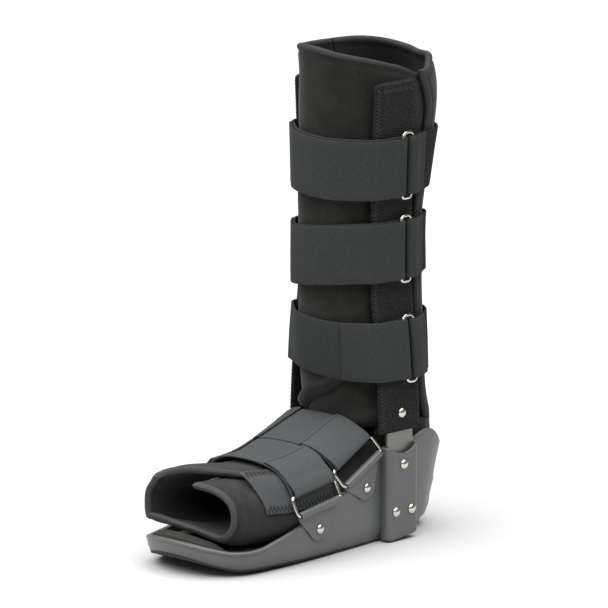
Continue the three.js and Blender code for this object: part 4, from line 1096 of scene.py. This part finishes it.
def wrap_place(u, v):
    """The wound strip's middle surface, from the near flap's end under the foot to the far one's."""
    start = read(FLAP_EDGES, "along", "near_edge", v)
    end = read(FLAP_EDGES, "along", "far_edge", v) - 360
    degrees = lerp(start, end, u)
    over_top = smooth((np.sin(np.radians(degrees)) - 0.55) / 0.3)
    y = lerp(toe_opening, foot_back, v) - instep_shift * over_top * v**2
    over = np.where(degrees < -180, lift_at(degrees + 360), 0)
    droop = read(FLAP_EDGES, "along", "droop", v) * smooth(1 - (start - degrees) / droop_reach)
    return foot_point(degrees, y, over - flap_droop * droop - liner_wall / 2)


wrap_u, wrap_v = 330.0, 188.0
u = marks(wrap_u, 4.0, 2.2, 5)
v = marks(wrap_v, 4.0, 2.4, 5)
mid = wrap_place(u[None, :] / wrap_u, v[:, None] / wrap_v)
distance = np.minimum(np.minimum(u, wrap_u - u)[None, :], np.minimum(v, wrap_v - v)[:, None])
half = bound_edge(distance) * rounded(v, 3.0, u, 3.0)
foot_fleece = fleece("foot_fleece", "#222322", "#333433")
foot_binding = binding("foot_binding", "#3c3e3e")
finish = distance < binding_band
piece = wall_piece("liner_foot", mid, half, [foot_fleece, foot_binding], (v, u), finish)
dress(piece, "liner_fleece", "foot_wrap")

# Toe patch: a short piece of fine elastic webbing hooked over both toe flaps. Each end is closed by
# a zigzag in black thread.
def webbing(name, dark, light):
    """Webbing of one shade: a fine weave in the cloth's own directions under a haze of loops."""
    material, tree = new_material(name)
    cloth = add(tree, "ShaderNodeTexCoord")
    weave = []
    for direction in "XY":
        thread = add(
            tree,
            "ShaderNodeTexWave",
            {"Vector": cloth.outputs["UV"], "Scale": wave_repeat / thread_gap, "Distortion": 0.6},
            bands_direction=direction,
        )
        weave.append(thread.outputs["Fac"])
    crossed = add(tree, "ShaderNodeMath", {0: weave[0], 1: weave[1]}, operation="MULTIPLY")
    haze = add(
        tree,
        "ShaderNodeTexNoise",
        {"Vector": cloth.outputs["Object"], "Scale": 1 / haze_width, "Detail": 3.0},
    )
    height = add(
        tree, "ShaderNodeMath", {0: crossed.outputs["Value"], 1: haze.outputs["Fac"]}, operation="ADD"
    )
    tint = add(tree, "ShaderNodeValToRGB", {"Fac": haze.outputs["Fac"]})
    tint.color_ramp.elements[0].position = 0.3
    tint.color_ramp.elements[0].color = linear(dark)
    tint.color_ramp.elements[1].position = 0.75
    tint.color_ramp.elements[1].color = linear(light)
    bump = add(
        tree, "ShaderNodeBump", {"Height": height.outputs["Value"], "Strength": 0.25, "Distance": 0.15 * MM}
    )
    end_material(
        tree,
        {
            "Base Color": tint.outputs["Color"],
            "Normal": bump.outputs["Normal"],
            "Roughness": 0.9,
            "Specular IOR Level": 0.15,
        },
    )
    return material


thread_gap, haze_width = 1.1 * MM, 1.2 * MM
fine_webbing = webbing("fine_webbing", "#434546", "#4e5051")
black_thread, tree = new_material("black_thread")
end_material(tree, {"Base Color": linear("#1a1a1b"), "Roughness": 0.8})


def tube(name, path, lean_to, radius, materials, sides=6, closed=False):
    """A round cord along a path: rings set square to it, from its tangent and a lean direction."""
    if closed:
        ahead = np.roll(path, -1, axis=0) - np.roll(path, 1, axis=0)
    else:
        ahead = np.gradient(path, axis=0)
    ahead = ahead / np.linalg.norm(ahead, axis=1, keepdims=True)
    side = np.cross(ahead, lean_to)
    side = side / np.maximum(np.linalg.norm(side, axis=1, keepdims=True), 1e-9)
    up = np.cross(side, ahead)
    a = np.arange(sides) / sides * 2 * np.pi
    ring = side[:, None] * np.cos(a)[None, :, None] + up[:, None] * np.sin(a)[None, :, None]
    grid = path[:, None] + ring * radius
    if not closed:
        grid = np.concatenate([path[:1, None] + 0 * ring[:1], grid, path[-1:, None] + 0 * ring[-1:]])
    faces = grid_faces(*grid.shape[:2], round_rows=closed, round_cols=True)
    return make_piece(name, grid, faces, materials)


def zigzag(name, start, end, place, width, pitch, slot="webbing", thick=0.45, thread=None):
    """A zigzag of thread laid on a surface: place turns a run along the seam (0 to 1) and a shift
    across it (in millimetres) into points and normals."""
    first, last = [place(np.array([at]), np.zeros(1))[0] for at in (start, end)]
    count = max(4, int(np.linalg.norm(last - first) / pitch))
    t = np.linspace(start, end, count * 4 + 1)
    phase = np.arange(len(t)) / 4
    shift = width / 2 * (2 / np.pi) * np.arcsin(np.sin(phase * 2 * np.pi))
    path, normal = place(t, shift)
    return dress(tube(name, path + normal * 0.15, normal, thick, [thread or black_thread], 5), slot)


patch_thickness, foot_middle = 1.4, 40.0
patch = {"front_top": -170.0, "front_foot": -167.0, "back": -82.0, "top": 68.0, "foot": 5.0}


def envelope(degrees, y, off):
    """The foot's surface as a strap feels it: the far flap's edge is bridged."""
    edge = far_edge(y)
    bridge = 45
    low = flap_lift * smooth((degrees - edge + bridge) / bridge)
    return foot_point(degrees, y, np.where(degrees > edge, lift_at(degrees), low) + off)


def patch_place(u, v, off=2 * clearance + patch_thickness / 2):
    """The patch's middle surface: u runs down the near side, v from the toe backwards."""
    front = lerp(patch["front_top"], patch["front_foot"], u)
    return envelope(lerp(patch["top"], patch["foot"], u), lerp(front, patch["back"], v), off)


patch_u, patch_v, patch_edge = 62.0, 88.0, 0.7
u = marks(patch_u, patch_edge, 1.6, 3)
v = marks(patch_v, patch_edge, 1.6, 3)
mid = patch_place(u[None, :] / patch_u, v[:, None] / patch_v)
half = patch_thickness / 2 * rounded(v, patch_edge, u, patch_edge)
piece = wall_piece("toe_patch_webbing", mid, half, [fine_webbing], (v, u))
dress(piece, "webbing", "toe_patch")


def patch_seam(middle):
    """Points and normals along one end of the patch, at a share of the way down it."""

    def place(t, shift):
        u = middle + shift / patch_u
        top = 2 * clearance + patch_thickness
        step = 0.01
        spot = patch_place(u, t, top)
        down = patch_place(u + step, t, top) - spot
        back = patch_place(u, t + step, top) - spot
        normal = np.cross(back, down)
        normal = normal / np.linalg.norm(normal, axis=-1, keepdims=True)
        from_middle = spot - [0.0, 0.0, foot_middle]
        return spot, normal * np.sign(np.sum(normal * from_middle, axis=-1, keepdims=True))

    return place


zigzag("patch_zigzag_top", 0.02, 0.98, patch_seam(0.1), 9.0, 4.2)
zigzag("patch_zigzag_foot", 0.02, 0.98, patch_seam(0.9), 9.0, 4.2)
# Cover seams: a zigzag in grey thread runs up both long edges of each cover and across its top,
# where it holds the cut end of the pile.
grey_thread, tree = new_material("grey_thread")
end_material(tree, {"Base Color": linear("#2e2f2e"), "Roughness": 0.8})
COVER_SEAMS = {
    "front": {"upright": True, "at": -21.5, "run": (0, 1)},
    "back": {"upright": True, "at": 21.5, "run": (0, 1)},
    "top": {"upright": False, "at": cover_top - 7, "run": (0.1, 0.9)},
}
for name, side in [("near", 1), ("far", -1)]:
    for edge, seam in COVER_SEAMS.items():
        label = f"sleeve_zigzag_{edge}_{name}"
        place = cover_place(side, seam["upright"], seam["at"])
        zigzag(label, *seam["run"], place, 4.5, 3.2, "loop_pile", 0.4, grey_thread)


# Leg straps: loop-faced webbing 50 mm wide. Each goes once round the leg over both covers, through
# a wire ring on the near side, and folds back on itself, and its sewn end holds the ring.
def hull(spots):
    """The convex outline of plane points, anticlockwise, by the monotone chain."""
    order = sorted(map(tuple, spots))

    def chain(run):
        kept = []
        for p in run:
            while len(kept) > 1:
                (ax, ay), (bx, by) = kept[-2:]
                if (bx - ax) * (p[1] - ay) - (by - ay) * (p[0] - ax) > 1e-9:
                    break
                kept.pop()
            kept.append(p)
        return kept[:-1]

    return np.array(chain(order) + chain(order[::-1]))


def taut_line(corners, closed, spread):
    """A taut line through corners, rounded as cloth rounds them: set at even half millimetres and
    averaged by a bell of the given spread. Gives its length and a function of the distance along
    it and off it, where off is to the right of the way."""
    run = np.vstack([corners, corners[:1]]) if closed else corners
    far = np.concatenate([[0], np.cumsum(np.hypot(*np.diff(run, axis=0).T))])
    count = int(far[-1] * 2)
    at = np.linspace(0, far[-1], count + 1)
    path = np.stack([np.interp(at, far, run[:, k]) for k in range(2)], -1)
    width = int(spread * 8)
    bell = np.exp(-0.5 * (np.arange(-width, width + 1) / (spread * 2)) ** 2)
    bell = bell / bell.sum()
    if closed:
        longer = np.vstack([path[-width - 1 : -1], path, path[1 : width + 1]])
    else:
        before = 2 * path[0] - path[1 : width + 1][::-1]
        after = 2 * path[-1] - path[-width - 1 : -1][::-1]
        longer = np.vstack([before, path, after])
    path = np.stack([np.convolve(longer[:, k], bell, "valid") for k in range(2)], -1)
    ahead = np.gradient(path, axis=0)
    if closed:
        ahead[0] = ahead[-1] = path[1] - path[-2]
    right = np.stack([ahead[:, 1], -ahead[:, 0]], -1)
    right = right / np.hypot(*right.T)[:, None]
    far = np.concatenate([[0], np.cumsum(np.hypot(*np.diff(path, axis=0).T))])
    length = far[-1]

    def place(distance, off):
        d = np.mod(distance, length) if closed else np.clip(distance, 0, length)
        spot = [np.interp(d, far, path[:, k]) + off * np.interp(d, far, right[:, k]) for k in range(2)]
        return np.stack(spot, -1)

    return length, place


strap_width, strap_thickness, strap_clearance, strap_edge, strap_end = 50.0, 2.0, 1.4, 0.9, 1.4
ring_wire, ring_length, leg_ring_width, leg_ring_y, foot_ring_width = 2.8, 53.0, 8.5, 8.0, 14.0
LEG_STRAPS = {
    "top": {"middle": 0.757, "far_rise": 7.0, "end": 0.36, "drop": 1.6},
    "middle": {"middle": 0.589, "far_rise": -5.0, "end": 0.4, "drop": 1.0},
    "lower": {"middle": 0.389, "far_rise": 7.0, "end": 0.815, "drop": 0.0},
}
sewn_points, bar_points, leg_points, pile_points = 11, 13, 238, 86
loop_radius = ring_wire / 2 + 1.4 * clearance + strap_thickness / 2
layer_step = strap_thickness + clearance
first_layer = strap_clearance + strap_thickness / 2
settle, sewn = 14.0, 26.0
leg_ring_bar = (leg_ring_width + ring_wire) / 2


def leg_line(z):
    """The line of a stretched strap round the leg at one height, from the rings backwards."""
    turn = np.arange(0, 360, 4.0)
    off = np.where((turn < near_lap["end"]) & (turn >= near_lap["back"]), flap_lift, 0)
    leg = leg_point(turn, np.full_like(turn, z), off)[:, :2]
    flat = strut_width / 2 + clearance
    edge = cover_width / 2
    thick = cover_thickness / 2
    corner = np.array(
        [(-thick, -flat), (-cover_fabric, -edge), (cover_fabric, -edge), (thick, -flat)]
        + [(thick, flat), (cover_fabric, edge), (-cover_fabric, edge), (-thick, flat)]
    )
    x = float(strut_x(np.array(z)))
    covers = [np.stack([side * (x + corner[:, 0]), corner[:, 1]], -1) for side in (1, -1)]
    loop = hull(np.vstack([leg, *covers]))
    after = np.roll(loop, -1, axis=0)
    i = int(np.argmax((loop[:, 0] > 0) & (loop[:, 1] <= leg_ring_y) & (after[:, 1] > leg_ring_y)))
    t = (leg_ring_y - loop[i, 1]) / (after[i, 1] - loop[i, 1])
    start = lerp(loop[i], after[i], t)
    return taut_line(np.vstack([start, np.roll(loop, -i - 1, axis=0)]), True, 2.2)


def outer_off(off, distance):
    """Where a strap's outer layer settles on its inner one, at a distance from the bar."""
    return off + lerp(2 * loop_radius, layer_step, smooth(distance / settle))


def round_bar(at, off, sign, up, count=bar_points):
    """Half a turn of a strap round a bar, as distances along and off the strap's line."""
    t = np.linspace(0, 1, count)
    a = np.pi * ((t - 0.5) if up else (0.5 - t))
    return np.stack([at + sign * loop_radius * np.cos(a), off + loop_radius * (1 + np.sin(a))], -1)


def leg_route(length, end):
    """A leg strap's centre line: the sewn end, round the rear bar, once round the leg, round the
    front bar, and back to the free end."""
    bar = leg_ring_bar
    low = first_layer
    tail = np.array([21.0, 20.8, 20.3, 19.5, 17.5, 15, 12.5, 10, 7, 4, 2])
    sewn_end = np.stack([bar + tail, outer_off(low, tail)], -1)
    round_leg = np.linspace(bar, length - bar, leg_points + 2)[1:-1]
    fold = np.array([1.5, 3, 5, 7, 9, 11, 13])
    folded = np.linspace(length - bar - settle, end * length + 1.5, 130)
    last = end * length + np.array([0.9, 0.4, 0.0])
    return np.vstack(
        [
            sewn_end,
            round_bar(bar, low, -1, False),
            np.stack([round_leg, np.full_like(round_leg, low)], -1),
            round_bar(length - bar, low, 1, True),
            np.stack([length - bar - fold, outer_off(low, fold)], -1),
            np.stack([folded, np.full_like(folded, low + layer_step)], -1),
            np.stack([last, np.full_like(last, low + layer_step)], -1),
        ]
    )


def strap_rows():
    """Distances across a strap from its lower edge, close together at its rounded edges."""
    return marks(strap_width, strap_edge, 5.5, 3) - strap_width / 2


def strap_piece(name, mid, at, materials, finish):
    """A webbing strap: a thin wall on its centre surface, rounded at the edges and both ends."""
    across = at[0] + strap_width / 2
    run = at[1]
    half = strap_thickness / 2 * rounded(across, strap_edge, run, strap_end)
    finish = np.broadcast_to(finish, mid.shape[:2])
    return wall_piece(name, mid, half, materials, (across, run), finish)


# Ribbed webbing: the same cloth where the fold-back leaves it single, with ribs across it.
def ribbed(name, dark, light):
    """Webbing whose ribs run across it, in one shade of cloth, its colour darker in the hollows between the
    ribs as painted shade.
    """
    material, tree = new_material(name)
    cloth = add(tree, "ShaderNodeTexCoord")
    ribs = add(
        tree,
        "ShaderNodeTexWave",
        {"Vector": cloth.outputs["UV"], "Scale": wave_repeat / rib_gap, "Distortion": 0.4},
        bands_direction="X",
    )
    haze = add(
        tree,
        "ShaderNodeTexNoise",
        {"Vector": cloth.outputs["Object"], "Scale": 1 / haze_width, "Detail": 3.0},
    )
    height = add(
        tree, "ShaderNodeMath", {0: ribs.outputs["Fac"], 1: haze.outputs["Fac"]}, operation="ADD"
    )
    # The colour follows the ribs' height: painted shade in the hollows between the ribs, with random tone
    # from the haze.
    tint = add(tree, "ShaderNodeValToRGB", {"Fac": height.outputs["Value"]})
    tint.color_ramp.elements[0].position = 0.3
    tint.color_ramp.elements[0].color = linear(dark)
    tint.color_ramp.elements[1].position = 1.0
    tint.color_ramp.elements[1].color = linear(light)
    bump = add(
        tree, "ShaderNodeBump", {"Height": height.outputs["Value"], "Strength": 0.3, "Distance": 0.2 * MM}
    )
    end_material(
        tree,
        {
            "Base Color": tint.outputs["Color"],
            "Normal": bump.outputs["Normal"],
            "Roughness": 0.9,
            "Specular IOR Level": 0.15,
        },
    )
    return material


rib_gap = 2.2 * MM
ribbed_webbing = ribbed("ribbed_webbing", "#36383a", "#494b4c")
# The leg straps' ribbed webbing is a darker copy of the foot straps': painted shade on the upright leg.
shaded_leg_ribbed_webbing = ribbed("shaded_leg_ribbed_webbing", "#2c2e2e", "#343636")


def run_along(grid):
    """Distances along a strap, added up from point to point on its middle row."""
    middle = grid[len(grid) // 2]
    return np.concatenate([[0], np.cumsum(np.linalg.norm(np.diff(middle, axis=0), axis=1))])


def leg_surface(strap, rows):
    """A leg strap's surface: for each height across it, the route on that height's own line, raised
    towards the far side."""
    grid = []
    for w in rows:
        z = strap["middle"] * leg_top + w
        length, place = leg_line(z)
        route = leg_route(length, strap["end"])
        spot = place(route[:, 0], route[:, 1])
        rise = strap["far_rise"] * smooth(0.5 - spot[:, 0] / (2 * float(strut_x(np.array(z)))))
        grid.append(points(spot[:, 0], spot[:, 1], z + rise))
    return np.array(grid)


# The leg straps' webbing is a darker copy of the foot straps' webbing: painted shade where the straps stand
# upright round the leg.
shaded_leg_webbing = webbing("shaded_leg_webbing", "#2e3030", "#3a3c3c")
leg_start = sewn_points + bar_points
pile_end = leg_start + pile_points
fold_start = leg_start + leg_points
for label, strap in LEG_STRAPS.items():
    rows = strap_rows()
    grid = leg_surface(strap, rows)
    run = run_along(grid)
    order = np.arange(grid.shape[1])
    pile = (order >= leg_start) & (order < pile_end)
    rib = (order >= pile_end) & (order < fold_start)
    finish = np.where(pile, 2, np.where(rib, 1, 0))
    grid[..., 2] -= np.where(order > fold_start + bar_points, strap["drop"], 0.0)
    materials = [shaded_leg_webbing, shaded_leg_ribbed_webbing, loop_pile]
    piece = strap_piece(f"strap_leg_{label}", grid, (rows, run), materials, finish)
    dress(piece, "webbing", f"leg_strap_{label}")


# Rings: rectangles of polished nickel wire with round corners. Each lies where the strap's pull and
# its own tab hold it.
def ring_frame(node):
    """A ring's centre and its long, short and square directions, from the spread of its solid's
    points."""
    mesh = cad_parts[node].data
    spots = np.empty(len(mesh.vertices) * 3)
    mesh.vertices.foreach_get("co", spots)
    spots = np.unique(np.round(spots.reshape(-1, 3) / MM, 3), axis=0)
    centre = spots.mean(axis=0)
    return centre, *np.linalg.svd(spots - centre, full_matrices=False)[2]


def wire_ring(name, node, long_inside, short_inside):
    """The ring's wire: straight sides joined by quarter circles, as one closed tube. Gives its
    centre."""
    centre, long, short, normal = ring_frame(node)
    p, q = bar_outline((long_inside + ring_wire) / 2, (short_inside + ring_wire) / 2, ring_corner, 7)
    path = centre + p[:, None] * long + q[:, None] * short
    lean_to = np.broadcast_to(normal, path.shape)
    piece = tube(name, path, lean_to, ring_wire / 2, [polished_nickel], 14, True)
    dress(piece, "nickel", node)
    return centre


ring_corner = 1.3 * ring_wire
for label in LEG_STRAPS:
    wire_ring(f"wire_leg_{label}", f"leg_ring_{label}", ring_length, leg_ring_width)

# Foot straps: the same webbing, two over the foot, each between two rings that are held in tabs
# of moulded nylon riveted to the base. The tab's upper edge is rolled round the ring.
tab_plate, tab_width, tab_height, tab_rivet_drop = 1.5, 51.0, 29.0, 19.0
tab_edge, tab_side_edge, tab_curl, ring_turn = 0.75, 0.03, 266.0, 8.0
FOOT_STRAPS = {
    "front": {"y": -105.5, "z": 46.5, "tilt": 7.0, "end": 0.32},
    "rear": {"y": -47.5, "z": 68.5, "tilt": 24.0, "end": 0.34},
}
TAB_OUTLINE = columns(
    "height half",
    [(0.0, 0.0), (0.012, 0.12), (0.04, 0.22), (0.13, 0.36), (0.3, 0.5), (0.82, 0.96), (1.0, 1.0)],
)
curl_radius = ring_wire / 2 + clearance + tab_plate / 2


def tab_frame(strap):
    """A tab's plane on the base's wall: the middle of its rolled edge and its three directions."""
    tilt = np.radians(strap["tilt"])
    reach_y = tab_width / 2 * np.cos(tilt)
    y1, y2 = strap["y"] - reach_y, strap["y"] + reach_y
    x1, x2 = base_half(np.array([y1, y2]))
    t = np.array([0.2, 0.35, 0.5, 0.65, 0.8])
    bulge = max(0.0, float(np.max(base_half(lerp(y1, y2, t)) - lerp(x1, x2, t))))
    along = np.array([x2 - x1, y2 - y1, 0.0])
    along = along / np.linalg.norm(along)
    out = np.array([along[1], -along[0], 0.0])
    along = along * np.cos(tilt) + np.array([0, 0, np.sin(tilt)])
    wall = np.array([(x1 + x2) / 2 + bulge + clearance, strap["y"], strap["z"]])
    return wall, along, out, np.cross(out, along)


def tab_piece(name, strap, side, node):
    """A tab: rows of its outline up the plate, then round the curl, each as wide as the table says."""
    wall, along, out, up = tab_frame(strap)
    h = marks(tab_height, tab_edge, 1.4, 3)[:-3]
    flat_half = tab_width / 2 * read(TAB_OUTLINE, "height", "half", h / tab_height)
    a = np.radians(180 - np.linspace(0, tab_curl, 26)[1:])
    off = tab_plate / 2 + np.concatenate([0 * h, curl_radius + curl_radius * np.cos(a)])
    q = np.concatenate([h - tab_height, curl_radius * np.sin(a)])
    half_width = np.concatenate([flat_half, np.full(len(a), tab_width / 2)])
    across = marks(2.0, 0.04, 0.1, 3) - 1
    mid = (
        wall
        + off[:, None, None] * out
        + q[:, None, None] * up
        + (half_width[:, None] * across[None, :])[..., None] * along
    )
    run = np.concatenate([[0], np.cumsum(np.hypot(np.diff(off), np.diff(q)))])
    half = tab_plate / 2 * rounded(run, tab_edge, across + 1, tab_side_edge)
    mid[..., 0] *= side
    piece = wall_piece(name, mid, half, [moulded_nylon], (run, across * tab_width / 2))
    dress(piece, "grey_plastic", node)


def foot_line(strap, near, far, shift):
    """A taut line over the foot between the two rings' bars, in a plane on the strap's tilt that is
    moved along the tab by a shift. The seats are where the strap's centre passes under each bar."""
    along = tab_frame(strap)[1]
    near = near + along * shift
    far = far + along * [-1, 1, 1] * shift
    tilt = np.radians(strap["tilt"])
    turn = np.arange(-20, 201, 4.0)
    y = np.full_like(turn, near[1])
    for _ in range(8):
        skin = envelope(turn, y, 0.0)
        y = near[1] - (skin[:, 2] - near[2]) * np.tan(tilt)
    flat = np.stack([skin[:, 0], (skin[:, 2] - near[2]) / np.cos(tilt)], -1)
    off = patch_thickness + 3 * clearance + strap_clearance + strap_thickness / 2
    length, place = taut_line(hull(flat), True, 1.0)
    over = place(np.linspace(0, length, 160), off)
    centres = np.array([[near[0], 0.0], [far[0], (far[2] - near[2]) / np.cos(tilt)]])
    low = np.where(over[:, 0] > 0, centres[0, 1], centres[1, 1]) + 2
    over = over[over[:, 1] > low]
    seats = centres.copy()
    for _ in range(6):
        loop = hull(np.vstack([seats, over]))
        first = int(np.argmin(np.hypot(*(loop - seats[0]).T)))
        ordered = np.roll(loop, -first, axis=0)
        ends = np.array([ordered[1] - ordered[0], ordered[-1] - ordered[-2]])
        ends = ends / np.hypot(*ends.T)[:, None]
        seats = centres - np.stack([ends[:, 1], -ends[:, 0]], -1) * loop_radius
    length, place = taut_line(ordered, False, 2.0)

    def lifted(distance, off):
        x, rise = np.moveaxis(place(distance, off), -1, 0)
        return points(x, near[1] - rise * np.sin(tilt), near[2] + rise * np.cos(tilt))

    return length, lifted


def foot_route(length, end):
    """A foot strap's centre line: the free end, back to the near bar and round it, over the foot,
    round the far bar, and its sewn end."""
    first = end * length - np.array([0.0, 0.4, 0.9, 1.5])
    folded = np.linspace(end * length - 2.5, settle, 60)
    fold = np.array([13, 11, 9, 7, 5, 3, 1.5])
    over = np.linspace(0, length, 130)[1:-1]
    tail = np.array([2, 4, 7, 10, 14, 18, 22, 24.5, 25.3, 25.8, 26.0])
    return np.vstack(
        [
            np.stack([first, np.full_like(first, layer_step)], -1),
            np.stack([folded, np.full_like(folded, layer_step)], -1),
            np.stack([fold, outer_off(0, fold)], -1),
            round_bar(0, 0, -1, False),
            np.stack([over, 0 * over], -1),
            round_bar(length, 0, 1, True),
            np.stack([length - tail, outer_off(0, tail)], -1),
        ]
    )


for label, strap in FOOT_STRAPS.items():
    bars = {}
    for name, side in [("near", 1), ("far", -1)]:
        wall, _, out, up = tab_frame(strap)
        hinge = (wall + out * (tab_plate / 2 + curl_radius)) * [side, 1, 1]
        node = f"foot_ring_{label}_{name}"
        centre = wire_ring(f"wire_foot_{label}_{name}", node, ring_length, foot_ring_width)
        bars[name] = 2 * centre - hinge
        tab_piece(f"tab_plate_{label}_{name}", strap, side, f"foot_tab_{label}_{name}")
        head = (wall + out * tab_plate - up * tab_rivet_drop) * [side, 1, 1]
        depth = tab_plate + clearance + shell_wall / 2
        rivet(f"dome_tab_{label}_{name}", head, out * [side, 1, 1], depth, f"tab_rivet_{label}_{name}")
    rows = strap_rows()
    grid = []
    for w in rows:
        length, place = foot_line(strap, bars["near"], bars["far"], w)
        route = foot_route(length, strap["end"])
        grid.append(place(route[:, 0], route[:, 1]))
    grid = np.array(grid)
    run = run_along(grid)
    finish = (run > 2 * strap["end"] * length + ring_turn).astype(int)
    piece = strap_piece(f"strap_foot_{label}", grid, (rows, run), [fine_webbing, ribbed_webbing], finish)
    hem = grid[2:-2, 5]
    lean_to = hem * [1, 0, 1] - [0, 0, foot_middle]
    outward = lean_to / np.linalg.norm(lean_to, axis=1, keepdims=True)
    stitch = hem + outward * (strap_thickness / 2 + 0.1)
    dress(tube(f"hem_thread_{label}", stitch, lean_to, 0.28, [black_thread], 5), "webbing")
    dress(piece, "webbing", f"foot_strap_{label}")

# Sizes: the solids' box and the dressed boot's box.
boxes = {"cad": cad_box, "visual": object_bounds()}
{key: [list(map(float, corner)) for corner in value] for key, value in boxes.items()}
